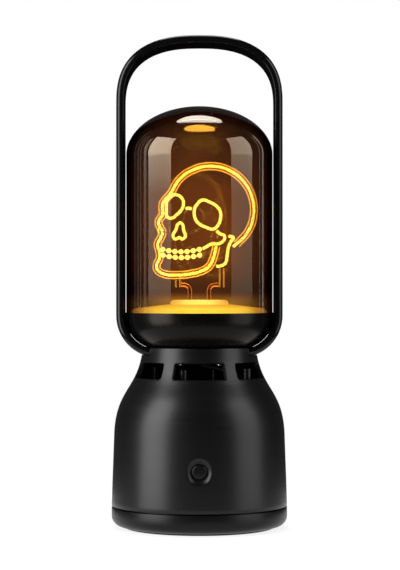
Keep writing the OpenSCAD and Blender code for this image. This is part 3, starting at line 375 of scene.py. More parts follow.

# the floor's and puck's glow dims towards their left and right, which is painted shade, and the floor's dims above
# its low edge,
# the amber deepening as it dims: how far aside and how high that starts and ends, in m, and the share left at its
# end
paintedShadeFades = (
    {"finish": floorAmber, "aside": (0.020, 0.0335), "faint": 0.35, "crest": 0.6, "deep": "#ffa030"},
    {"finish": puckAmber, "aside": (0.004, 0.0146), "faint": 0.55, "crest": 1.0, "deep": "#ffc840"},
)
crestHeights = (0.1096, 0.1116)
for shadeFade in paintedShadeFades:
    litTree = shadeFade["finish"].node_tree
    litShader = litTree.nodes["Principled BSDF"]
    litPlace = addNode(litTree, "ShaderNodeTexCoord").outputs["Object"]
    litParts = addNode(litTree, "ShaderNodeSeparateXYZ", links={0: litPlace}).outputs
    aside = addNode(litTree, "ShaderNodeMath", links={0: litParts["X"]}, operation="ABSOLUTE")
    fade = addNode(
        litTree, "ShaderNodeMapRange",
        {"From Min": shadeFade["aside"][0], "From Max": shadeFade["aside"][1], "To Min": 1.0, "To Max": shadeFade["faint"]},
        {"Value": aside.outputs[0]}, interpolation_type="SMOOTHSTEP")
    climb = addNode(
        litTree, "ShaderNodeMapRange",
        {"From Min": crestHeights[0], "From Max": crestHeights[1], "To Min": 1.0, "To Max": shadeFade["crest"]},
        {"Value": litParts["Z"]})
    left = addNode(litTree, "ShaderNodeMath", links={0: fade.outputs[0], 1: climb.outputs[0]},
                   operation="MULTIPLY")
    glowSocket = litShader.inputs["Emission Strength"].links[0].from_socket
    faded = addNode(litTree, "ShaderNodeMath", links={0: glowSocket, 1: left.outputs[0]}, operation="MULTIPLY")
    litTree.links.new(faded.outputs[0], litShader.inputs["Emission Strength"])
    brightest = litShader.inputs["Emission Color"].default_value[:]
    deepened = addNode(litTree, "ShaderNodeMixRGB", {"Color1": toLinear(shadeFade["deep"]), "Color2": brightest},
                       {"Fac": left.outputs[0]})
    litTree.links.new(deepened.outputs[0], litShader.inputs["Emission Color"])
print("materials made:", len(bpy.data.materials))


def ease(bm, geom, size, segments, affect="EDGES"):
    bmesh.ops.bevel(bm, geom=geom, offset=size / 1000, offset_type="OFFSET", affect=affect, segments=segments,
                    profile=0.5, material=-1, clamp_overlap=affect == "EDGES")


def wire(bm, points, closed=False):
    # points are radius or x, then height, then the corner's rounding where it has one
    verts = [bm.verts.new(mm(point[0], 0, point[1])) for point in points]
    for first, second in zip(verts, verts[1:] + (verts[:1] if closed else [])):
        bm.edges.new((first, second))
    for vert, point in zip(verts, points):
        if len(point) > 2:
            ease(bm, [vert], point[2], max(2, min(16, round(point[2] * 4))), "VERTICES")


def closeSeams(bm):
    bmesh.ops.remove_doubles(bm, verts=bm.verts[:], dist=1e-6)
    bmesh.ops.recalc_face_normals(bm, faces=bm.faces[:])


def extruded(bm, edges):
    # the new verts and the new edges, still in place
    made = bmesh.ops.extrude_edge_only(bm, edges=edges)["geom"]
    return [[part for part in made if isinstance(part, kind)] for kind in (bmesh.types.BMVert, bmesh.types.BMEdge)]


def turn(bm, steps):
    bmesh.ops.spin(bm, geom=bm.verts[:] + bm.edges[:], axis=(0, 0, 1), cent=(0, 0, 0), angle=math.tau, steps=steps,
                   use_merge=True)
    closeSeams(bm)


def arcPoints(x, z, radius, degrees):
    return [(x + radius * math.cos(math.radians(a)), z + radius * math.sin(math.radians(a))) for a in degrees]


def addPosts(bm, places, radius, low, high):
    for x, y in places:
        bmesh.ops.create_cone(bm, cap_ends=True, segments=32, radius1=radius / 1000, radius2=radius / 1000,
                              depth=(high - low) / 1000, matrix=Matrix.Translation(mm(x, y, (low + high) / 2)))


def finishPiece(bm, name, materials, stands, body="lamp", sharp=40):
    mesh = bpy.data.meshes.new(name)
    bm.to_mesh(mesh)
    bm.free()
    for material in materials:
        mesh.materials.append(material)
    mesh.polygons.foreach_set("use_smooth", [True] * len(mesh.polygons))
    mesh.set_sharp_from_angle(angle=math.radians(sharp))
    piece = bpy.data.objects.new(name, mesh)
    scene.collection.objects.link(piece)
    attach(piece, body)
    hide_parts(*stands)
    return piece


def stepsTo(low, high, pitch):
    count = max(1, round((high - low) / pitch))
    return [low + (high - low) * i / count for i in range(count)]


# base shell: a bell with a straight skirt, three sound slots, a button dish, an inlet and two strap notches.
# Rows of faces start at each height with the given pitch
shell = {
    "seam": (44.0, 11.1), "shoulder": (42.7, 48.0), "pulls": ((41.38, 70.0), (30.5, 69.2)), "neck": (28.4, 90.2),
    "wall": 2.4, "edge": 0.25, "edgeDegrees": 50, "edgeDepth": 1.7, "columns": 360, "bendSteps": 160,
    "rows": ((11.1, 2.2), (22.6, 0.6), (40.0, 1.6), (48.0, 0.9), (75.15, 0.39), (82.95, 0.8), (86.3, 0.8)),
    "slots": 3, "slotPitch": 60, "slotDegrees": 48, "slotLow": 75.15, "slotHigh": 82.95, "slotCorner": 1.3,
    "slotsAbove": 70, "skirtHigh": 50, "rimReach": 0.8,
    "dishHeight": 31.3, "dishRadius": 6.45, "dishLevel": 0.5,
    "dishRings": ((6.25, 0.12), (5.6, 0.6), (4.9, 1.1), (4.3, 1.4), (3.7, 1.45)),
    "inletHeight": 29.35, "inletWidth": 9.2, "inletTall": 3.5, "notchDegrees": 30, "notchLow": 86.3,
    "bosses": (45, 135, 225, 315), "bossRing": 34, "bossRadius": 3.2, "bossLow": 8.0, "bossHigh": 22.0,
}
bend = interpolate_bezier(
    mm(shell["shoulder"][0], 0, shell["shoulder"][1]), *[mm(r, 0, z) for r, z in shell["pulls"]],
    mm(shell["neck"][0], 0, shell["neck"][1]), shell["bendSteps"])


def shellRadius(z):
    low, high = shell["seam"], shell["shoulder"]
    if z <= high[1]:
        return low[0] + (high[0] - low[0]) * (z - low[1]) / (high[1] - low[1])
    for first, second in zip(bend, bend[1:]):
        if z <= second.z * 1000 + 1e-6:
            return 1000 * (first.x + (second.x - first.x) * (z / 1000 - first.z) / (second.z - first.z))
    return shell["neck"][0]


def onShell(angle, z):
    radius = shellRadius(z)
    return mm(radius * math.cos(angle), radius * math.sin(angle), z)


bm = bmesh.new()
shellTop = shell["neck"][1]
rows = []
for (low, pitch), high in zip(shell["rows"], [row[0] for row in shell["rows"][1:]] + [shellTop]):
    rows += stepsTo(low, high, pitch)
wire(bm, [(shellRadius(z), z) for z in rows + [shellTop]])
turn(bm, shell["columns"])

slotMiddle = (shell["slotLow"] + shell["slotHigh"]) / 2
slotRadius = shellRadius(slotMiddle)


def slotPlace(co):
    # across and up from the nearest slot's middle, in mm
    pitch = math.radians(shell["slotPitch"])
    fromFront = (math.atan2(co.y, co.x) + math.pi * 1.5) % math.tau - math.pi
    aside = shell["slots"] // 2  # slots each side of the middle one
    nearest = max(-aside, min(aside, round(fromFront / pitch)))
    return (fromFront - nearest * pitch) * slotRadius, co.z * 1000 - slotMiddle


def roundedReach(across, up, halfWide, halfTall, corner):
    # how far a point lies outside a rounded window, and how far it is past the corner's centre each way
    x, y = abs(across) - halfWide + corner, abs(up) - halfTall + corner
    return math.hypot(max(x, 0), max(y, 0)) + min(max(x, y), 0) - corner, x, y


# each window's place, its side of the shell, its half width and height, and its corner
slotsAbove, skirtHigh = shell["slotsAbove"] / 1000, shell["skirtHigh"] / 1000
windows = (
    ("slots", slotPlace, lambda co: co.z > slotsAbove,
     math.radians(shell["slotDegrees"] / 2) * slotRadius, (shell["slotHigh"] - shell["slotLow"]) / 2,
     shell["slotCorner"]),
    ("dish", lambda co: (co.x * 1000, co.z * 1000 - shell["dishHeight"]),
     lambda co: co.y < 0 and co.z < skirtHigh, shell["dishRadius"], shell["dishRadius"], shell["dishRadius"]),
    ("inlet", lambda co: (co.x * 1000, co.z * 1000 - shell["inletHeight"]),
     lambda co: co.y > 0 and co.z < skirtHigh, shell["inletWidth"] / 2, shell["inletTall"] / 2,
     shell["inletTall"] / 2),
)
dishEdge = []
for windowName, placeOf, onSide, halfWide, halfTall, corner in windows:
    gone = []
    for face in bm.faces:
        middle = face.calc_center_median()
        if onSide(middle) and roundedReach(*placeOf(middle), halfWide, halfTall, corner)[0] < 0:
            gone.append(face)
    bmesh.ops.delete(bm, geom=gone, context="FACES")
    for vert in bm.verts:
        if not (vert.is_boundary and onSide(vert.co)):
            continue
        across, up = placeOf(vert.co)
        out, x, y = roundedReach(across, up, halfWide, halfTall, corner)
        if abs(out) > shell["rimReach"]:
            continue
        if x > 0 and y > 0:  # round the corner: move the point onto the arc
            pull = corner / math.hypot(x, y)
            newAcross = math.copysign(halfWide - corner + x * pull, across)
            newUp = math.copysign(halfTall - corner + y * pull, up)
        elif windowName == "slots":
            continue
        else:
            newAcross, newUp = across, math.copysign(halfTall, up)
        z = vert.co.z * 1000 + newUp - up
        if windowName == "slots":
            vert.co = onShell(math.atan2(vert.co.y, vert.co.x) + (newAcross - across) / slotRadius, z)
        else:
            back = math.sqrt(shellRadius(z) ** 2 - newAcross ** 2)
            vert.co = mm(newAcross, math.copysign(back, vert.co.y), z)
    if windowName == "dish":
        aboveSeam = shell["seam"][1] / 1000 + 0.001
        dishEdge = [edge for edge in bm.edges if edge.is_boundary and onSide(edge.verts[0].co)
                    and edge.verts[0].co.z > aboveSeam]

# the dish: rings stepped in towards the button and back into the wall, level once they are deep enough
faceOut = shellRadius(shell["dishHeight"])
for ringRadius, depth in shell["dishRings"]:
    ringVerts, ringEdges = extruded(bm, dishEdge)
    for vert in ringVerts:
        spoke = Vector((vert.co.x, 0, vert.co.z - shell["dishHeight"] / 1000)).normalized() * ringRadius
        z = shell["dishHeight"] + spoke.z
        level = min(1.0, depth / shell["dishLevel"])
        wallY = -math.sqrt(shellRadius(z) ** 2 - spoke.x ** 2)
        vert.co = mm(spoke.x, wallY * (1 - level) - faceOut * level + depth, z)
    dishEdge = [edge for edge in ringEdges if edge.is_boundary]

notched = []
for face in bm.faces:
    middle = face.calc_center_median()
    turnedAway = abs(math.degrees(math.atan2(middle.y, abs(middle.x))))
    if middle.z * 1000 > shell["notchLow"] and turnedAway < shell["notchDegrees"]:
        notched.append(face)
bmesh.ops.delete(bm, geom=notched, context="FACES")
bmesh.ops.recalc_face_normals(bm, faces=bm.faces[:])
outward = 0
for face in bm.faces:
    middle = face.calc_center_median()
    outward += 1 if face.normal.dot(Vector((middle.x, middle.y, 0))) > 0 else -1
if outward < 0:
    bmesh.ops.reverse_faces(bm, faces=bm.faces[:])
bmesh.ops.solidify(bm, geom=bm.faces[:], thickness=shell["wall"] / 1000)
outerEdges = []
for edge in bm.edges:
    if len(edge.link_faces) == 2 and edge.calc_face_angle(0) > math.radians(shell["edgeDegrees"]):
        middle = (edge.verts[0].co + edge.verts[1].co) / 2
        if math.hypot(middle.x, middle.y) * 1000 > shellRadius(middle.z * 1000) - shell["edgeDepth"]:
            outerEdges.append(edge)
ease(bm, outerEdges, shell["edge"], 2)
addPosts(bm, arcPoints(0, 0, shell["bossRing"], shell["bosses"]), shell["bossRadius"], shell["bossLow"],
         shell["bossHigh"])
finishPiece(bm, "baseShell", [softTouch], ["base_shell", "neck_collar"])
print("base shell done")

# bottom cover: a shallow tray with a round lower edge, a lip that enters the shell, and a groove for the foot
cover = {
    "radius": 44.0, "low": 1.0, "high": 10.5, "round": 5.0, "edge": 0.35, "floor": 3.4,
    "groove": (30.35, 37.65, 1.6), "lip": (41.45, 13.6), "lipThick": 1.2, "lipRound": 0.3,
    "bossRadius": 4.2, "bossLow": 2.9, "bossHigh": 8.0, "columns": 240,
}
grooveIn, grooveOut, grooveTop = cover["groove"]
lipOut, lipTop = cover["lip"]
lipIn = lipOut - cover["lipThick"]
bm = bmesh.new()
wire(bm, [
    (0, cover["low"]), (grooveIn, cover["low"]), (grooveIn, grooveTop), (grooveOut, grooveTop),
    (grooveOut, cover["low"]), (cover["radius"], cover["low"], cover["round"]),
    (cover["radius"], cover["high"], cover["edge"]), (lipOut, cover["high"]), (lipOut, lipTop, cover["lipRound"]),
    (lipIn, lipTop, cover["lipRound"]), (lipIn, cover["floor"]), (0, cover["floor"]),
])
turn(bm, cover["columns"])
addPosts(bm, arcPoints(0, 0, shell["bossRing"], shell["bosses"]), cover["bossRadius"], cover["bossLow"],
         cover["bossHigh"])
finishPiece(bm, "bottomCover", [coverAbs], ["bottom_cover"])

# foot ring: a rubber washer with eased edges
foot = {"inner": 30.5, "outer": 37.5, "low": 0.0, "high": 1.6, "edge": 0.4, "columns": 160}
bm = bmesh.new()
wire(bm, [
    (foot["inner"], foot["low"], foot["edge"]), (foot["outer"], foot["low"], foot["edge"]),
    (foot["outer"], foot["high"]), (foot["inner"], foot["high"]),
], closed=True)
turn(bm, foot["columns"])
finishPiece(bm, "footRing", [rubber], ["foot_ring"])

# power button: a slightly crowned cap with a flange and a stem behind it, turned about the front axis
button = {
    "height": 31.3, "columns": 72,
    "profile": ((0, 43.12), (1.6, 43.09), (2.7, 43.0), (3.6, 42.8, 0.5), (3.6, 38.49), (4.8, 38.49), (4.8, 37.69),
                (1.2, 37.69), (1.2, 36.99), (0, 36.99)),
}
bm = bmesh.new()
wire(bm, button["profile"])
turn(bm, button["columns"])
toFront = Matrix.Translation(mm(0, 0, button["height"])) @ Matrix.Rotation(math.radians(90), 4, "X")
bmesh.ops.transform(bm, matrix=toFront, verts=bm.verts[:])
finishPiece(bm, "powerButton", [buttonAbs], ["power_button"], "button")
print("base pieces done")

# hoop: one strap bent to a frame with round lower corners and a flattened arch, rounder outside than inside, and
# matt inside but for a polished stretch at each lower corner
hoop = {
    "halfWidth": 41.3, "low": 85.2, "lowerCorner": 21.0, "archFrom": 211.7, "archRise": 33.6, "archPower": 2.5,
    "archSteps": 60, "sideFrom": 110.2, "sidePitch": 8, "middle": 165, "thick": 3.8, "deep": 28.0,
    "outerRound": 2.6, "innerRound": 0.5, "polishedLow": 90.6, "polishedHigh": 96.6,
}
halfWidth, lowCorner = hoop["halfWidth"], (hoop["low"], hoop["lowerCorner"])
bm = bmesh.new()
archPoints = []
for i in range(hoop["archSteps"] + 1):
    angle = math.pi * i / hoop["archSteps"]
    x = math.copysign(abs(math.cos(angle)) ** (2 / hoop["archPower"]), math.cos(angle)) * halfWidth
    archPoints.append((x, hoop["archFrom"] + hoop["archRise"] * math.sin(angle) ** (2 / hoop["archPower"])))
sidePoints = stepsTo(hoop["sideFrom"], hoop["archFrom"], hoop["sidePitch"])
rightSide = [(halfWidth, *lowCorner)] + [(halfWidth, z) for z in sidePoints]
leftSide = [(-halfWidth, z) for z in reversed(sidePoints)] + [(-halfWidth, *lowCorner)]
wire(bm, rightSide + archPoints + leftSide, closed=True)
bmesh.ops.translate(bm, vec=mm(0, -hoop["deep"] / 2, 0), verts=bm.verts[:])
rearVerts = extruded(bm, bm.edges[:])[0]
bmesh.ops.translate(bm, vec=mm(0, hoop["deep"], 0), verts=rearVerts)
bmesh.ops.recalc_face_normals(bm, faces=bm.faces[:])


def facesOut(face):
    # away from the middle of the frame
    return face.normal.dot(face.calc_center_median() - mm(0, 0, hoop["middle"])) > 0


bm.faces.ensure_lookup_table()
if not facesOut(bm.faces[0]):
    bmesh.ops.reverse_faces(bm, faces=bm.faces[:])
bmesh.ops.solidify(bm, geom=bm.faces[:], thickness=hoop["thick"] / 1000)
halfDeep = hoop["deep"] / 2000
for outside, size, segments in ((True, hoop["outerRound"], 6), (False, hoop["innerRound"], 3)):
    rim = []
    for edge in bm.edges:
        first, second = [vert.co.y for vert in edge.verts]
        if abs(abs(first) - halfDeep) > 1e-5 or abs(abs(second) - halfDeep) > 1e-5 or first * second < 0:
            continue
        wall = [face for face in edge.link_faces if abs(face.normal.y) < 0.5]
        if len(wall) == 1 and facesOut(wall[0]) == outside:
            rim.append(edge)
    ease(bm, rim, size, segments)
for face in bm.faces:
    polished = hoop["polishedLow"] < face.calc_center_median().z * 1000 < hoop["polishedHigh"]
    face.material_index = 1 if abs(face.normal.y) < 0.1 and not facesOut(face) and not polished else 0
finishPiece(bm, "hoop", [hoopLacquer, hoopMatt], ["handle"], sharp=50)
print("hoop done")

# lamp cup: a saucer with a round underside, a ledge for the glass and an eased rim
cup = {
    "low": 89.2, "high": 107.5, "rim": 37.3, "arc": (20.3, 106.2, 17.0), "wall": 2.2, "edge": 0.22,
    "glassSeat": 36.85, "ledge": (31.5, 105.5, 2.0), "innerSteps": 12, "wireHole": 3.5, "columns": 240,
    "bosses": ((-11, 0), (11, 0)), "bossRadius": 3.6, "bossHigh": 96.4,
    "posts": (90, 210, 330), "postRing": 16, "postRadius": 2.5, "postHigh": 98.0, "postLow": 90.2,
}
bm = bmesh.new()
arcX, arcZ, arcRadius = cup["arc"]
ledgeIn, ledgeTop, ledgeThick = cup["ledge"]
innerRadius = arcRadius - cup["wall"]
ledgeAngle = 360 - math.degrees(math.asin((arcZ - ledgeTop + ledgeThick) / innerRadius))
innerTurns = [ledgeAngle - (ledgeAngle - 270) * i / cup["innerSteps"] for i in range(cup["innerSteps"] + 1)]
wire(bm, [(cup["wireHole"], cup["low"])] + arcPoints(arcX, arcZ, arcRadius, range(270, 361, 5)) + [
    (cup["rim"], cup["high"], cup["edge"]), (cup["glassSeat"], cup["high"]), (cup["glassSeat"], ledgeTop),
    (ledgeIn, ledgeTop), (ledgeIn, ledgeTop - ledgeThick),
] + arcPoints(arcX, arcZ, innerRadius, innerTurns) + [(cup["wireHole"], cup["low"] + cup["wall"])], closed=True)
turn(bm, cup["columns"])
addPosts(bm, cup["bosses"], cup["bossRadius"], cup["postLow"], cup["bossHigh"])
addPosts(bm, arcPoints(0, 0, cup["postRing"], cup["posts"]), cup["postRadius"], cup["postLow"], cup["postHigh"])
finishPiece(bm, "lampCup", [cupLacquer], ["lamp_cup"])

# glass dome: a straight tube of smoked glass closed by a low elliptical top
dome = {"radius": 36.7, "wall": 2.4, "spring": 186.4, "rise": 24.5, "edge": 0.6, "arcSteps": 28,
        "columns": 240, "rows": (184.4, 160.0, 130.0, 109.0, 107.4, 106.3)}
bm = bmesh.new()
loose = []
for inset in (0, dome["wall"]):
    radius, rise = dome["radius"] - inset, dome["rise"] - inset
    first = bm.verts.new(mm(radius, 0, 0))
    before = set(bm.verts[:]) - {first}
    bmesh.ops.spin(bm, geom=[first], axis=(0, -1, 0), cent=(0, 0, 0), angle=math.pi / 2, steps=dome["arcSteps"])
    arc = [vert for vert in bm.verts if vert not in before]
    bmesh.ops.scale(bm, vec=(1, 1, rise / radius), verts=arc)
    bmesh.ops.translate(bm, vec=mm(0, 0, dome["spring"]), verts=arc)
    above = first
    for z in dome["rows"]:  # rows on the straight wall keep its shading level down to the foot
        below = bm.verts.new(mm(radius, 0, z))
        bm.edges.new((above, below))
        above = below
    loose.append(above)
bm.edges.new(loose)
for vert in loose:
    ease(bm, [vert], dome["edge"], 4, "VERTICES")
turn(bm, dome["columns"])
# the inner wall, where the glass's painted glow goes
innerWall = bm.verts.layers.float.new("innerWall")
for vert in bm.verts:
    reach = math.hypot(vert.co.x, vert.co.y) * 1000 / (dome["radius"] - dome["wall"] / 2)
    climb = max(0.0, vert.co.z * 1000 - dome["spring"]) / (dome["rise"] - dome["wall"] / 2)
    vert[innerWall] = 1.0 if math.hypot(reach, climb) < 1 else 0.0
glassDome = finishPiece(bm, "glassDome", [smokedGlass], ["glass_dome"], sharp=60)
for state, linked in glassLinks.items():
    linked.objects.link(glassDome)
    linked.collection_objects[0].light_linking.link_state = state

# lit floor: a shallow cone with a skirt, and the resin puck that stands in it
floorPan = {"edge": 33.9, "skirtLow": 105.5, "edgeHigh": 109.4, "land": 15.4, "landHigh": 111.6, "hole": 12.4,
            "thick": 1.4, "edgeRound": 1.9, "landRound": 1.2, "columns": 200}
skirtIn, landLow = floorPan["edge"] - floorPan["thick"], floorPan["landHigh"] - floorPan["thick"]
bm = bmesh.new()
wire(bm, [
    (skirtIn, floorPan["skirtLow"]), (floorPan["edge"], floorPan["skirtLow"]),
    (floorPan["edge"], floorPan["edgeHigh"], floorPan["edgeRound"]),
    (floorPan["land"], floorPan["landHigh"], floorPan["landRound"]), (floorPan["hole"], floorPan["landHigh"]),
    (floorPan["hole"], landLow), (floorPan["land"], landLow), (skirtIn, floorPan["edgeHigh"] - floorPan["thick"]),
], closed=True)
turn(bm, floorPan["columns"])
finishPiece(bm, "litFloor", [floorAmber], ["reflector_floor"])

puck = {"radius": 14.6, "low": 111.6, "high": 113.8, "round": 1.9, "stem": 12.2, "stemLow": 108.2,
        "columns": 120}
bm = bmesh.new()
wire(bm, [
    (0, puck["stemLow"]), (puck["stem"], puck["stemLow"]), (puck["stem"], puck["low"]),
    (puck["radius"], puck["low"]), (puck["radius"], puck["high"], puck["round"]), (0, puck["high"]),
])
turn(bm, puck["columns"])
finishPiece(bm, "resinPuck", [puckAmber], ["filament_base"])
print("cup, glass and floor done")


def lineThrough(points, depth, closed=False):
    # a smooth line through x and height points, at a depth from the middle plane, as a bare curve
    curve = bpy.data.curves.new("strandLine", "CURVE")
    curve.dimensions = "3D"
    curve.resolution_u = 8
    spline = curve.splines.new("BEZIER")
    spline.bezier_points.add(len(points) - 1)
    for knot, (x, z) in zip(spline.bezier_points, points):
        knot.co = mm(x, depth, puck["high"] + z)
        knot.handle_left_type = knot.handle_right_type = "AUTO"
    spline.use_cyclic_u = closed
    return curve


def sweptMesh(curve, radius, sides=3, caps=True):
    curve.bevel_depth = radius / 1000
    curve.bevel_resolution = sides
    curve.use_fill_caps = caps
    carrier = bpy.data.objects.new("strandCarrier", curve)
    scene.collection.objects.link(carrier)
    mesh = bpy.data.meshes.new_from_object(carrier.evaluated_get(bpy.context.evaluated_depsgraph_get()))
    bpy.data.objects.remove(carrier)
    return mesh


def sweptTube(curve, radius, sides=3, caps=True):
    bm = bmesh.new()
    bm.from_mesh(sweptMesh(curve, radius, sides, caps))
    closeSeams(bm)
    return bm


def beadPlaces(curve, pitch, closed):
    # points a pitch apart along the bare line
    path = [vert.co.copy() for vert in sweptMesh(curve, 0).vertices]
    if closed:
        path.append(path[0].copy())
    length = sum((second - first).length for first, second in zip(path, path[1:]))
    gap = length / max(2, round(length * 1000 / pitch))
    places, walked, due = [], 0.0, gap / 2
    for first, second in zip(path, path[1:]):
        step = (second - first).length
        while due <= walked + step and step > 0:
            places.append(first.lerp(second, (due - walked) / step))
            due += gap
        walked += step
    return places


def addBeads(bm, places, radius, around, up):
    # round beads in the piece's second material
    strandFaces = len(bm.faces)
    for place in places:
        bmesh.ops.create_uvsphere(bm, u_segments=around, v_segments=up, radius=radius / 1000,
                                  matrix=Matrix.Translation(place))
    bm.faces.ensure_lookup_table()
    for face in bm.faces[strandFaces:]:
        face.material_index = 1


def paintSideGlow(bm, radius, edge, full=1.0, fade=0.24):
    # painted glow mask: full along the two sides that lie in the figure's plane, fading to 0 at an edge, a share
    # of the radius off it
    band = bm.verts.layers.float.new("sideBand")
    for vert in bm.verts:
        vert[band] = full * max(0.0, min(1.0, (edge - abs(vert.co.y) * 1000 / radius) / fade))


# the skull's lit lines, in mm across and up from the puck's top
skull = {
    "crown": (5.6, 45.3, 21.8), "crownTo": 160, "crownKnots": 10, "tubeFrom": -53, "filamentFrom": -59,
    "face": ((-17, 50.5), (-18.5, 48), (-18.5, 44.5), (-18.5, 42.5), (-20, 40.5), (-20.5, 38.5), (-19.5, 36),
             (-18.5, 34), (-19.5, 31), (-21, 28), (-20.5, 25.5), (-20, 23.5), (-20, 21), (-21.5, 17.5), (-21, 15),
             (-17.5, 13), (-11, 12.5), (-5, 13), (1, 14.5), (5, 17), (7, 21), (8.5, 27)),
    "jaw": ((8.4, 17), (10.5, 17), (13, 18.5), (14, 22.5), (14.5, 26), (15.8, 29.3), (17, 31.3), (14.5, 32)),
    "cheek": ((8.6, 34.6), (10, 33.3), (12.6, 31.8), (10.4, 28.4), (6, 28), (3, 26.3), (1.5, 25.5)),
    "leftEye": ((-16, 50), (-14, 52), (-11, 52.5), (-8.5, 50.5), (-8, 47.5), (-9, 45), (-11.5, 42.5), (-13.5, 41),
                (-16, 41.5), (-16.5, 45.5)),
    "rightEye": ((-2.5, 45), (-1, 48), (1.5, 50), (5, 49), (8.5, 47), (10.5, 44), (10.5, 40.5), (9, 37), (7, 35.5),
                 (3, 36.5), (0, 38), (-2, 40.5)),
    "bridge": ((-6.9, 45.5), (-5.4, 46), (-3.9, 45.4)),
    "nose": ((-10.4, 38.2), (-9, 38.4), (-7.8, 34.5), (-7, 32), (-8.5, 30.5), (-10, 31.2), (-12, 30.5),
             (-13.2, 32.2), (-11.8, 35)),
    "frontDepth": -3.15, "skin": 0.8, "die": 0.6, "dieSides": (8, 6), "pitch": 1.9,
    "tubeRadius": 2.0, "tubeSides": 10, "tubeWall": 0.3, "tubeBand": 0.5,
}


def outlinePoints(start):
    x, z, radius = skull["crown"]
    last = skull["crownKnots"] - 1
    turns = [start + (skull["crownTo"] - start) * i / last for i in range(skull["crownKnots"])]
    return arcPoints(x, z, radius, turns) + list(skull["face"])


for pieceName, node, points, depth, closed in (
    ("outline", "outline_filament", outlinePoints(skull["filamentFrom"]), 0, False),
    ("jaw", "jaw_filament", skull["jaw"], 0, False),
    ("cheek", "cheek_filament", skull["cheek"], skull["frontDepth"], False),
    ("leftEye", "left_eye_filament", skull["leftEye"], skull["frontDepth"], True),
    ("rightEye", "right_eye_filament", skull["rightEye"], skull["frontDepth"], True),
    ("bridge", "bridge_filament", skull["bridge"], skull["frontDepth"], False),
    ("nose", "nose_filament", skull["nose"], skull["frontDepth"], True),
):
    curve = lineThrough(points, depth, closed)
    places = beadPlaces(curve, skull["pitch"], closed)
    bm = sweptTube(curve, skull["skin"])
    addBeads(bm, places, skull["die"], *skull["dieSides"])
    finishPiece(bm, pieceName + "Filament", [filamentSkin, filamentDie], [node], sharp=80)

# teeth: two strings of seven round beads on a fine wire, bowed up a little at the ends
teeth = {"count": 7, "run": 18.3, "bead": 1.25, "beadSides": (24, 16), "wire": 0.4, "wireSides": 2, "bow": 0.0145,
         "rows": {"upper": (-9.2, 24.1), "lower": (-9.0, 21.2)}}
for rowName, (middleX, height) in teeth["rows"].items():
    acrossRow = [teeth["run"] * (i / (teeth["count"] - 1) - 0.5) for i in range(teeth["count"])]
    rowPoints = [(middleX + x, height + teeth["bow"] * x * x) for x in acrossRow]
    bm = sweptTube(lineThrough(rowPoints, skull["frontDepth"]), teeth["wire"], teeth["wireSides"])
    beads = [mm(x, skull["frontDepth"], puck["high"] + z) for x, z in rowPoints]
    addBeads(bm, beads, teeth["bead"], *teeth["beadSides"])
    finishPiece(bm, rowName + "Teeth", [filamentSkin, toothDie], [rowName + "_teeth"], sharp=80)

# the clear tube round the outline, and the two short clear risers that lift it off the leads
tubeLine = lineThrough(outlinePoints(skull["tubeFrom"]), 0)
bm = sweptTube(tubeLine, skull["tubeRadius"], skull["tubeSides"], False)
bmesh.ops.solidify(bm, geom=bm.faces[:], thickness=skull["tubeWall"] / 1000)
# painted glow along the tube's sides
paintSideGlow(bm, skull["tubeRadius"], skull["tubeBand"])
finishPiece(bm, "outlineTube", [clearTube], ["outline_tube"], sharp=60)

risers = {"radius": 1.5, "wall": 0.45, "columns": 32, "band": 0.6, "bandGlow": 0.45, "left": (-10.8, 6.4, 10.2),
          "right": (11.2, 6.4, 15.85)}
riserBore = risers["radius"] - risers["wall"]
for side in ("left", "right"):
    x, low, high = risers[side]
    bm = bmesh.new()
    wire(bm, [(riserBore, low), (risers["radius"], low), (risers["radius"], high), (riserBore, high)], closed=True)
    turn(bm, risers["columns"])
    bmesh.ops.translate(bm, vec=mm(x, 0, puck["high"]), verts=bm.verts[:])
    # painted glow along the riser's sides, fainter than the tube's
    paintSideGlow(bm, risers["radius"], risers["band"], risers["bandGlow"])
    finishPiece(bm, side + "Riser", [clearTube], [side + "_riser"])

# leads: two rods that stand in the puck and bend out to the risers
leads = {"x": 4.8, "radius": 1.0, "sides": 8, "band": 0.75, "bend": 3.0, "turnHigh": 7.6, "straight": (-2, 1.5),
         "reach": {"left": 9.15, "right": 9.55}}
for side, way in (("left", -1), ("right", 1)):
    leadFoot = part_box(side + "_lead")[0][2] * 1000 - puck["high"]
    route = [(leads["x"], z) for z in (leadFoot, *leads["straight"])]
    route += arcPoints(leads["x"] + leads["bend"], leads["turnHigh"] - leads["bend"], leads["bend"],
                       (180, 157.5, 135, 112.5, 90))
    route.append((leads["reach"][side], leads["turnHigh"]))
    bm = sweptTube(lineThrough([(way * x, z) for x, z in route], 0), leads["radius"], leads["sides"])
    # painted glow along the lead's sides
    paintSideGlow(bm, leads["radius"], leads["band"])
    finishPiece(bm, side + "Lead", [leadCopper], [side + "_lead"])
print("skull done")

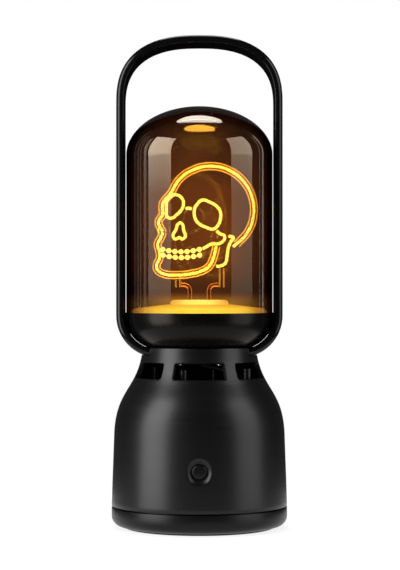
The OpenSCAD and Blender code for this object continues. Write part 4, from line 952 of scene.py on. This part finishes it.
# CAD nodes that keep their own shape take the finish of their slot
cadFinishes = {
    "shell_plastic": softTouch, "rubber": rubber,
    # zinc-plated steel screws: bright, with turning marks
    "screw_steel": grained("zincPlatedSteel", "#9a9ca0", "#c4c6c9", 0.3, 0.22, 0.40, 0.08, metal=1.0),
    # thermoplastic switch housing: dark grey, evenly matt
    "switch_plastic": grained("glassFilledNylon", "#232326", "#303034", 0.35, 0.5, 0.65, 0.1),
    # acetal plunger: off-white and waxy
    "plunger_plastic": grained("acetalPlunger", "#b9b6ac", "#cbc8be", 0.5, 0.35, 0.45, 0.03),
    # solder-masked glass-epoxy board: green with the weave just showing, and white under the lit floor
    "board_green": grained("solderMaskedEpoxy", "#12482c", "#1d6a41", 0.6, 0.3, 0.42, 0.08),
    "board_white": grained("whiteSolderMask", "#d9d8d2", "#eceae4", 0.6, 0.35, 0.5, 0.05),
    # heat-shrunk PVC on the cell: taut blue film
    "cell_wrap": grained("shrunkPvcFilm", "#2b4f86", "#3563a4", 2.5, 0.25, 0.38, 0.05),
    # nickel-plated strip on the cell: warm silver, streaked along its height
    "nickel": grained("nickelPlatedStrip", "#a7a69e", "#c9c7be", 0.4, 0.2, 0.34, 0.06, (1, 1, 0.1), metal=1.0),
    # powder-coated speaker frame: black with a fine dull texture
    "frame_paint": grained("powderCoatedSteel", "#1d1e20", "#2a2b2d", 0.5, 0.5, 0.66, 0.2),
    # passivated steel poles: plain grey with level turning marks
    "pole_steel": grained("passivatedSteel", "#86888a", "#a9abad", 0.4, 0.3, 0.45, 0.06, (0.1, 0.1, 1), metal=1.0),
    # sintered ferrite magnet: dark grey and gritty
    "ferrite": grained("sinteredFerrite", "#252526", "#3a3a3b", 0.3, 0.55, 0.75, 0.2),
    # enamelled copper wire: red-brown, in level turns
    "coil_wire": grained("enamelledCopperWire", "#8c4a22", "#c9763a", 0.25, 0.25, 0.4, 0.2, (0.02, 0.02, 1),
                         metal=0.8),
    # pressed paper pulp: brown-black and fibrous, with no shine
    "cone_paper": grained("pressedPaperPulp", "#191817", "#2b2927", 0.5, 0.75, 0.92, 0.35),
    # resined cotton cloth: tan, stiff and dull
    "spider_cloth": grained("resinedCottonCloth", "#9a7434", "#c39a52", 0.35, 0.7, 0.9, 0.4),
    # PVC wire jacket: black, slightly waxy
    "wire_jacket": grained("pvcWireJacket", "#161617", "#202022", 0.8, 0.35, 0.5, 0.05),
    # nickel-iron wire: fine and plain grey
    "brace_wire": grained("nickelIronWire", "#8d8a82", "#b1ada3", 0.2, 0.25, 0.4, 0.05, metal=1.0),
    # epoxy lens of the lights below the floor: milky, faintly lit
    "light_lens": glowing("epoxyLedLens", "#f2e2b0", "#f7ebc4", 0.6, "#ffd76a", 1.0, 1.6, 0.3),
}
for subpart in frame["record"]["subparts"]:
    node = cadNodes[subpart["node"]]
    if not node.hide_render:
        node.data.materials.clear()
        node.data.materials.append(cadFinishes[subpart["material_slot"]])
print("CAD nodes finished")
